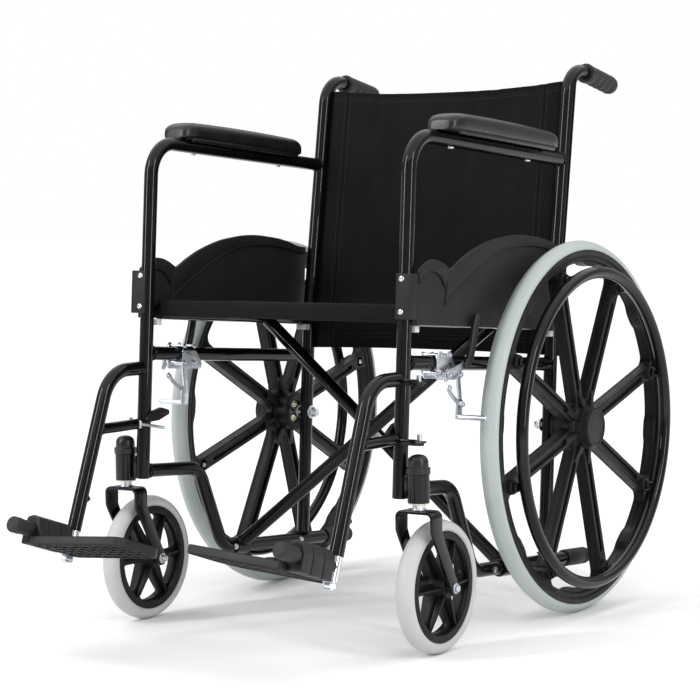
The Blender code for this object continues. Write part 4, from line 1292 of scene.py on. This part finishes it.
def brake(p, sx):
    """A toggle brake hung under the rail: clamp plates, a hand lever, a link and a tyre rod."""
    body = f"{p}_frame"
    out = OUT * sx

    def plane(x):
        return axes(ALONG, RISE, OUT, side(sx * x, 0, 0))

    plate = soft_corners([(-0.2200, 0.3930), (-0.1640, 0.3930), (-0.1600, 0.3990), (-0.1660, 0.4110),
                          (-0.1800, 0.4330), (-0.2200, 0.4330)], 0.004, 5)
    shapes = [cut_out(plate, 0.0026, plane(CLAMP_X[0]), 0.0004)]
    inner_plate = soft_corners([(-0.2150, 0.3940), (-0.1620, 0.3940), (-0.1660, 0.4080),
                                (-0.1800, 0.4240), (-0.2150, 0.4250)], 0.004, 5)
    shapes.append(cut_out(inner_plate, 0.0024, plane(CLAMP_X[1]), 0.0004))
    for s in CLAMP_S:
        for h in (SIDE_RAIL_H - 0.0140, SIDE_RAIL_H + 0.0128):
            shapes.append(rod(side(sx * 0.2300, s, h), side(sx * 0.2600, s, h), 0.0026))
            shapes += hex_head(side(sx * 0.2584, s, h), out, size=0.0042, height=0.0030,
                               washer=0.0058)
            shapes += hex_head(side(sx * 0.2306, s, h), -out, size=0.0040, height=0.0030,
                               washer=0.0)
    for s, h in (LEVER_PIVOT, SHOE_PIVOT):
        shapes.append(rod(side(sx * 0.2290, s, h), side(sx * 0.2715, s, h), 0.0030))
    shapes += hex_head(side(sx * 0.2668, *SHOE_PIVOT), out, size=0.0044, height=0.0030,
                       washer=0.0056)
    shapes += hex_head(side(sx * 0.2728, *LEVER_PIVOT), out, size=0.0044, height=0.0030,
                       washer=0.0060)
    piece(f"{p}_brake_bracket", shapes, "zinc", body, f"{p}_brake_clamp")

    lever_body = f"{p}_brake"
    strap = smoothed([(-0.2135, 0.3960), LEVER_PIVOT, (-0.1850, 0.4085), (-0.1600, 0.4165),
                      LEVER_KNEE], 6)
    ribbon = ribboned(strap, 0.0058)
    shapes = [cut_out(ribbon, 0.0026, plane(LEVER_X), 0.0004)]
    shapes += hex_head(side(sx * 0.2718, -0.1600, 0.4185), out, size=0.0040, height=0.0028,
                       washer=0.0)
    piece(f"{p}_brake_strap", shapes, "zinc", lever_body, f"{p}_brake_lever")
    handle = smoothed([(-0.1600, 0.4165), (-0.1500, 0.4250), (-0.1440, 0.4400),
                       (-0.1405, 0.4550), (-0.1370, 0.4700), (-0.1335, 0.4830),
                       (-0.1320, 0.4890)], 6)
    grip = cut_out(ribboned(handle, 0.0064, 0.0012), 0.0078, plane(HANDLE_X), 0.0022, (), 4)
    piece(f"{p}_brake_handle", grip, "soft", lever_body)

    shoe_body = f"{p}_shoe"
    link = smoothed([SHOE_PIVOT, (-0.1665, 0.3900), (-0.1620, 0.3700), (-0.1606, 0.3562)], 6)
    shapes = [cut_out(ribboned(link, 0.0050), 0.0026, plane(SHOE_X), 0.0004)]
    loop = smoothed([(-0.2010, 0.3810), (-0.1900, 0.3700), (-0.1740, 0.3610), (-0.1580, 0.3554)], 5)
    shapes.append(cut_out(ribboned(loop, 0.0036), 0.0024, plane(0.2672), 0.0004))
    foot = [(-0.1720, 0.3640), (-0.1540, 0.3640), (-0.1540, 0.3330), (-0.1720, 0.3330)]
    shapes.append(cut_out(soft_corners(foot, 0.003, 4), 0.0024, plane(0.2646), 0.0004))
    shapes.append(rod(side(sx * 0.2640, *SHOE_ROD), side(sx * 0.3150, *SHOE_ROD), 0.0040, 32))
    for s, h in ((-0.2010, 0.3810), (-0.1606, 0.3562)):
        shapes += hex_head(side(sx * 0.2680, s, h), out, size=0.0040, height=0.0028, washer=0.0054)
    piece(f"{p}_brake_arm", shapes, "zinc", shoe_body, f"{p}_brake_shoe")


# ---------------------------------------------------------------- cross brace


def cross_brace():
    """Two crossed tubes on one bolt, each with a sleeve at its foot and a seat rail on top."""
    length = math.hypot(SEAT_H - LOWER_H, 2.0 * HALF_WIDTH)
    for key, sx, s in (("a", -1.0, BRACE_S[0]), ("b", 1.0, BRACE_S[1])):
        body = f"brace_{key}"
        low = side(sx * HALF_WIDTH, s, LOWER_H)
        high = side(-sx * HALF_WIDTH, s, SEAT_H)
        way = (high - low) / length
        shapes = [tube([low + way * 0.0120, high - way * TUBE_R * 0.9], BRACE_R)]
        sleeve = [(TUBE_R + 0.0004, 0.0), (0.0143, 0.0), (0.0148, 0.0006), (0.0148, 0.0354),
                  (0.0143, 0.0360), (TUBE_R + 0.0004, 0.0360)]
        shapes.append(lathed(sleeve, low - ALONG * 0.0180, ALONG, 40))
        shapes.append(weld_bead(low + way * 0.0150, way, BRACE_R + 0.0004, 0.0014))
        side_name = "left" if key == "a" else "right"
        piece(f"cross_bar_{key}", shapes, "paint", body, f"cross_tube_{key}")
        ends = [side(-sx * HALF_WIDTH, SEAT_RAIL_S[0], SEAT_H),
                side(-sx * HALF_WIDTH, SEAT_RAIL_S[1], SEAT_H)]
        piece(f"{side_name}_seat_bar", tube(ends), "paint", body, f"seat_rail_{side_name}")
        caps = []
        for s_end, sign in ((SEAT_RAIL_S[0], -1.0), (SEAT_RAIL_S[1], 1.0)):
            at = side(-sx * HALF_WIDTH, s_end, SEAT_H)
            caps.append(rod(at, at + ALONG * (sign * 0.0012), TUBE_R * 0.96))
        piece(f"{side_name}_seat_bar_plugs", caps, "nylon", body)
    centre = side(0, 0, (SEAT_H + LOWER_H) / 2.0)
    first, last = BRACE_S[0] - BRACE_R - GAP, BRACE_S[1] + BRACE_R + GAP
    spacer = [(0.0042, BRACE_S[0] + BRACE_R + GAP), (0.0095, BRACE_S[0] + BRACE_R + GAP),
              (0.0095, BRACE_S[1] - BRACE_R - GAP), (0.0042, BRACE_S[1] - BRACE_R - GAP)]
    shapes = [rod(centre + ALONG * first, centre + ALONG * last, 0.0040),
              lathed(spacer, centre, ALONG, 32)]
    shapes += hex_head(centre + ALONG * first, -ALONG, size=0.0062, height=0.0040, washer=0.0)
    shapes += dome_nut(centre + ALONG * (last - 0.0008), ALONG, size=0.0058, height=0.0040,
                       dome=0.0042)
    piece("brace_pivot_bolt", shapes, "zinc", "brace_a", "cross_bolt")


# ---------------------------------------------------------------- slings


def ruffle(x, y, seed):
    """Soft creases: smooth noise, drawn out along the cloth."""
    return noise.noise(Vector((x, y, seed))) + 0.5 * noise.noise(Vector((x * 2.1, y * 2.3, seed + 9)))


def sheet_mesh(name, wide, deep, place, thickness, body, node):
    """A cloth surface from place(u, v), with u and v from 0 to 1, given a thickness."""
    bm = bmesh.new()
    grid = [[bm.verts.new(place(i / wide, j / deep)) for j in range(deep + 1)]
            for i in range(wide + 1)]
    for i in range(wide):
        for j in range(deep):
            bm.faces.new((grid[i][j], grid[i + 1][j], grid[i + 1][j + 1], grid[i][j + 1]))
    bmesh.ops.recalc_face_normals(bm, faces=bm.faces)
    mesh = mesh_from(bm, name)
    mesh.materials.append(COAT["cloth"])
    made = linked(name, mesh)
    shell = made.modifiers.new("thickness", "SOLIDIFY")
    shell.thickness = thickness
    shell.offset = 0.0
    applied(made)
    made.data.shade_smooth()
    made.data.set_sharp_from_angle(angle=math.radians(60.0))
    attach(made, body)
    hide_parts(node)
    return made


def stitch_line(points, size=0.00045, stitch=0.0042, gap=0.0016):
    """Short raised threads laid end to end along a path."""
    shapes = []
    walk = 0.0
    spans = []
    for a, b in zip(points, points[1:]):
        spans.append((walk, a, b))
        walk += (b - a).length
    at = 0.0

    def locate(d):
        for start, a, b in reversed(spans):
            if d >= start:
                return a + (b - a).normalized() * (d - start)
        return points[0]

    while at + stitch < walk:
        a, b = locate(at), locate(at + stitch)
        middle = (a + b) / 2.0
        shapes.append(swept([a, middle, b], size, 6))
        at += stitch + gap
    return shapes


def stitched(place, start, run, count, lift):
    """Stitches on the cloth place(u, v), from start over the (u, v) steps of run, lifted off it."""
    path = [place(start[0] + run[0] * i / count, start[1] + run[1] * i / count) + lift
            for i in range(count + 1)]
    return stitch_line(path)


def back_sling():
    """The backrest: a wide web between the canes, with sleeves, hems and soft creases."""
    edge = HALF_WIDTH + 0.0118
    wrap_x = 0.222
    wrap_r = 0.0128

    def shape(x, h):
        """How far back the cloth lies: hollow between the canes, and wrapped round them."""
        post = rear_post_s(h)
        ax = abs(x)
        belly = 1.0 - min(1.0, ax / 0.225) ** 2.0
        rise = min(1.0, max(0.0, (h - BACK_BOTTOM_H) / (BACK_TOP_H - BACK_BOTTOM_H)))
        s = post + 0.0050 + 0.0085 * belly * (0.35 + 0.65 * math.sin(math.pi * rise))
        if ax > wrap_x:
            t = min(1.0, (ax - wrap_x) / (HALF_WIDTH - wrap_x))
            blend = t * t * (3 - 2 * t)
            s = (1.0 - blend) * s + blend * (post + wrap_r)
        if ax > HALF_WIDTH:
            swing = min(0.98, (ax - HALF_WIDTH) / wrap_r)
            s = post + wrap_r * math.sqrt(max(0.02, 1.0 - swing ** 2))
        return s

    def place(u, v):
        x = (2.0 * u - 1.0) * edge
        share = abs(x) / edge
        top = BACK_TOP_H - BACK_SAG * (1.0 - share ** 2.4)
        bottom = BACK_BOTTOM_H + 0.004 * (1.0 - share ** 2.0)
        h = bottom + (top - bottom) * v
        s = shape(x, h)
        body = 1.0 - min(1.0, share / 0.86) ** 4
        crease = 0.0022 * ruffle(x * 5.0, h * 2.6, 3.0) + 0.0009 * ruffle(x * 17.0, h * 5.0, 8.0)
        pull = 0.0020 * math.sin(h * 36.0 + 2.0 * noise.noise(Vector((x * 3, h * 3, 1)))) * (
            share ** 3) * body
        seam = 0.0034 * math.exp(-((abs(x) - 0.1985) / 0.0030) ** 2)
        folds = 0.0
        for fold_x, fold_deep, lean in ((-0.150, 0.0050, 0.03), (-0.088, 0.0034, -0.05),
                                        (0.035, 0.0030, 0.06), (0.118, 0.0046, -0.04),
                                        (0.168, 0.0042, 0.02)):
            gap = (x - fold_x - lean * (v - 0.5)) / 0.0110
            folds += fold_deep * math.exp(-gap ** 2) * (0.35 + 0.65 * v)
        crease += folds
        hem = 0.0010 * (math.exp(-((v - 0.985) / 0.005) ** 2)
                        + math.exp(-((v - 0.050) / 0.006) ** 2))
        roll = -0.0014 * (max(0.0, v - 0.985) / 0.015 + max(0.0, 0.045 - v) / 0.045)
        s += (crease + pull) * (0.25 + 0.75 * body) + seam + hem + roll * 0.6
        return side(x, s, h)

    sling = sheet_mesh("backrest_sling", 200, 150, place, 0.0022, "right_frame", "back_sling")
    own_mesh(sling)
    threads = []
    for lift in (ALONG * -0.0012, ALONG * 0.0012):
        for x in (-0.2035, -0.1940, 0.1940, 0.2035):
            u = (x / edge + 1.0) / 2.0
            threads += stitched(place, (u, 0.01), (0.0, 0.98), 60, lift)
        for v in (0.968, 0.044, 0.056):
            threads += stitched(place, (0.03, v), (0.94, 0.0), 80, lift)
    made = piece("backrest_stitching", threads, "thread", "right_frame")
    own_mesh(made)


def seat_hem():
    """The rolled hem across the front: a flat-sided roll with soft dents."""
    bm = bmesh.new()
    stations, around = 150, 26
    rings = []
    for i in range(stations + 1):
        t = i / stations
        x = (2.0 * t - 1.0) * (HALF_WIDTH - 0.0118)
        wave = 0.0019 * ruffle(x * 9.0, 0.0, 31.0) + 0.0008 * ruffle(x * 31.0, 0.0, 33.0)
        low = SEAT_H - 0.0065 + wave * 0.6
        high = SEAT_TOP_H - 0.0006 + wave * 0.3
        mid, half = (high + low) / 2.0, (high - low) / 2.0
        ring = []
        for k in range(around):
            angle = 2.0 * math.pi * k / around
            c, sn = math.cos(angle), math.sin(angle)
            u = math.copysign(abs(c) ** 0.75, c) * 0.0085
            v = math.copysign(abs(sn) ** 0.62, sn) * half
            bulge = 0.0014 * ruffle(x * 22.0, k * 0.25, 41.0)
            ring.append(bm.verts.new(side(x, SEAT_SLING_S[0] + 0.0085 + u - abs(bulge) * 0.4, mid + v)))
        rings.append(ring)
    skin(bm, rings)
    hem = piece("seat_front_hem", finished(bm), "cloth", "seat", sharp=60.0)
    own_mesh(hem)


def seat_sling():
    """The seat: cloth over both rails with a thick rolled hem across the front."""
    start, end = SEAT_SLING_S
    top = SEAT_TOP_H - 0.0022
    flat_half = HALF_WIDTH - 0.010
    bend_r = 0.0123
    arc = math.pi / 2.0 * 1.15
    drop = 0.0062
    reach = flat_half + 0.010 + bend_r * arc + drop

    def section(d):
        """x and h at an arc length d out from the middle."""
        if d <= flat_half:
            return d, top
        d -= flat_half
        lean = 0.0100
        if d <= lean:
            t = d / lean
            return flat_half + d, top + (SEAT_H + bend_r - top) * t * t
        d -= lean
        if d <= bend_r * math.pi / 2.0:
            angle = math.pi / 2.0 - d / bend_r
            return HALF_WIDTH + bend_r * math.cos(angle), SEAT_H + bend_r * math.sin(angle)
        d -= bend_r * math.pi / 2.0
        return HALF_WIDTH + bend_r, SEAT_H - d

    def place(u, v):
        d = (2.0 * u - 1.0) * reach
        x, h = section(abs(d))
        x = math.copysign(x, d)
        s = start + 0.004 + (end - start - 0.005) * v
        share = abs(x) / HALF_WIDTH
        sag = 0.0060 * max(0.0, 1.0 - share ** 2) * math.sin(math.pi * min(1.0, v * 1.25)) ** 0.8
        crease = 0.0012 * ruffle(x * 6.0, s * 5.0, 21.0) * max(0.0, 1.0 - share ** 6)
        seam = 0.0012 * math.exp(-((abs(x) - 0.2130) / 0.0022) ** 2)
        h -= (sag + crease + seam) if abs(d) < flat_half else 0.0
        return side(x, s, h)

    sling = sheet_mesh("seat_cloth", 190, 120, place, 0.0024, "seat", "seat_sling")
    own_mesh(sling)
    seat_hem()

    threads = []
    lift = RISE * 0.0013
    for x in (-0.2175, -0.2085, 0.2085, 0.2175):
        u = (x / reach + 1.0) / 2.0
        threads += stitched(place, (u, 0.02), (0.0, 0.96), 60, lift)
    for v in (0.055, 0.970):
        threads += stitched(place, (0.05, v), (0.90, 0.0), 80, lift)
    made = piece("seat_stitching", threads, "thread", "seat")
    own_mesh(made)


# ---------------------------------------------------------------- stage


def soft_light(name, place, target, size, tall, power):
    """A rectangular light that faces its target."""
    data = bpy.data.lights.new(name, "AREA")
    data.shape = "RECTANGLE"
    data.size = size
    data.size_y = tall
    data.energy = power
    made = linked(name, data)
    made.location = place
    made.rotation_euler = (Vector(target) - Vector(place)).to_track_quat("-Z", "Y").to_euler()


def studio():
    """A white floor and backdrop, the lights and the camera."""
    scene = bpy.context.scene
    bm = bmesh.new()
    bmesh.ops.create_grid(bm, x_segments=1, y_segments=1, size=30.0)
    mesh = mesh_from(bm, "studio_floor")
    coat = Coat("studio_floor_white", (0.93, 0.93, 0.93), 0.95)
    mesh.materials.append(coat.material)
    floor = linked("studio_floor", mesh)
    floor.location = (0, 0, -0.0005)

    world = bpy.data.worlds.new("studio_world")
    scene.world = world
    world.use_nodes = True
    glow = world.node_tree.nodes["Background"]
    glow.inputs["Color"].default_value = (1.0, 1.0, 1.0, 1.0)
    glow.inputs["Strength"].default_value = WORLD_GLOW
    backdrop = world.node_tree.nodes.new("ShaderNodeBackground")
    backdrop.inputs["Color"].default_value = (1.0, 1.0, 1.0, 1.0)
    backdrop.inputs["Strength"].default_value = 1.0
    seen = world.node_tree.nodes.new("ShaderNodeLightPath")
    choice = world.node_tree.nodes.new("ShaderNodeMixShader")
    links = world.node_tree.links
    links.new(seen.outputs["Is Camera Ray"], choice.inputs["Fac"])
    links.new(glow.outputs["Background"], choice.inputs[1])
    links.new(backdrop.outputs["Background"], choice.inputs[2])
    links.new(choice.outputs["Shader"], world.node_tree.nodes["World Output"].inputs["Surface"])
    data = bpy.data.lights.new("wide_sky", "SUN")
    data.angle = math.radians(120.0)
    data.energy = SKY_POWER
    linked("wide_sky", data)

    middle = (0.0, 0.0, 0.45)
    soft_light("key_light", (-1.9, -3.0, 2.1), middle, size=0.4, tall=2.4, power=62.0)
    soft_light("edge_light", (3.2, -0.9, 1.6), middle, size=0.3, tall=2.6, power=44.0)

    data = bpy.data.cameras.new("camera")
    data.lens = CAMERA_LENS
    data.sensor_width = 36.0
    made = linked("camera", data)
    az, el = CAMERA_AZIMUTH, CAMERA_ELEVATION
    back = Vector((math.sin(az) * math.cos(el), -math.cos(az) * math.cos(el), math.sin(el)))
    right = UP.cross(back).normalized()
    above = back.cross(right)
    c, s = math.cos(CAMERA_ROLL), math.sin(CAMERA_ROLL)
    cam_x = right * c + above * s
    cam_y = above * c - right * s
    target = level(*CAMERA_TARGET)
    made.matrix_world = axes(cam_x, cam_y, back, target + back * CAMERA_DISTANCE)
    scene.camera = made
    scene.view_settings.view_transform = "Standard"


def main():
    """Build both sides, then what joins them, then the stage."""
    for p, sx in (("right", -1.0), ("left", 1.0)):
        side_frame(p, sx)
        side_guard(p, sx)
        caster(p, sx)
        rear_wheel(p, sx)
        leg_support(p, sx)
        brake(p, sx)
    cross_brace()
    back_sling()
    seat_sling()
    studio()


main()
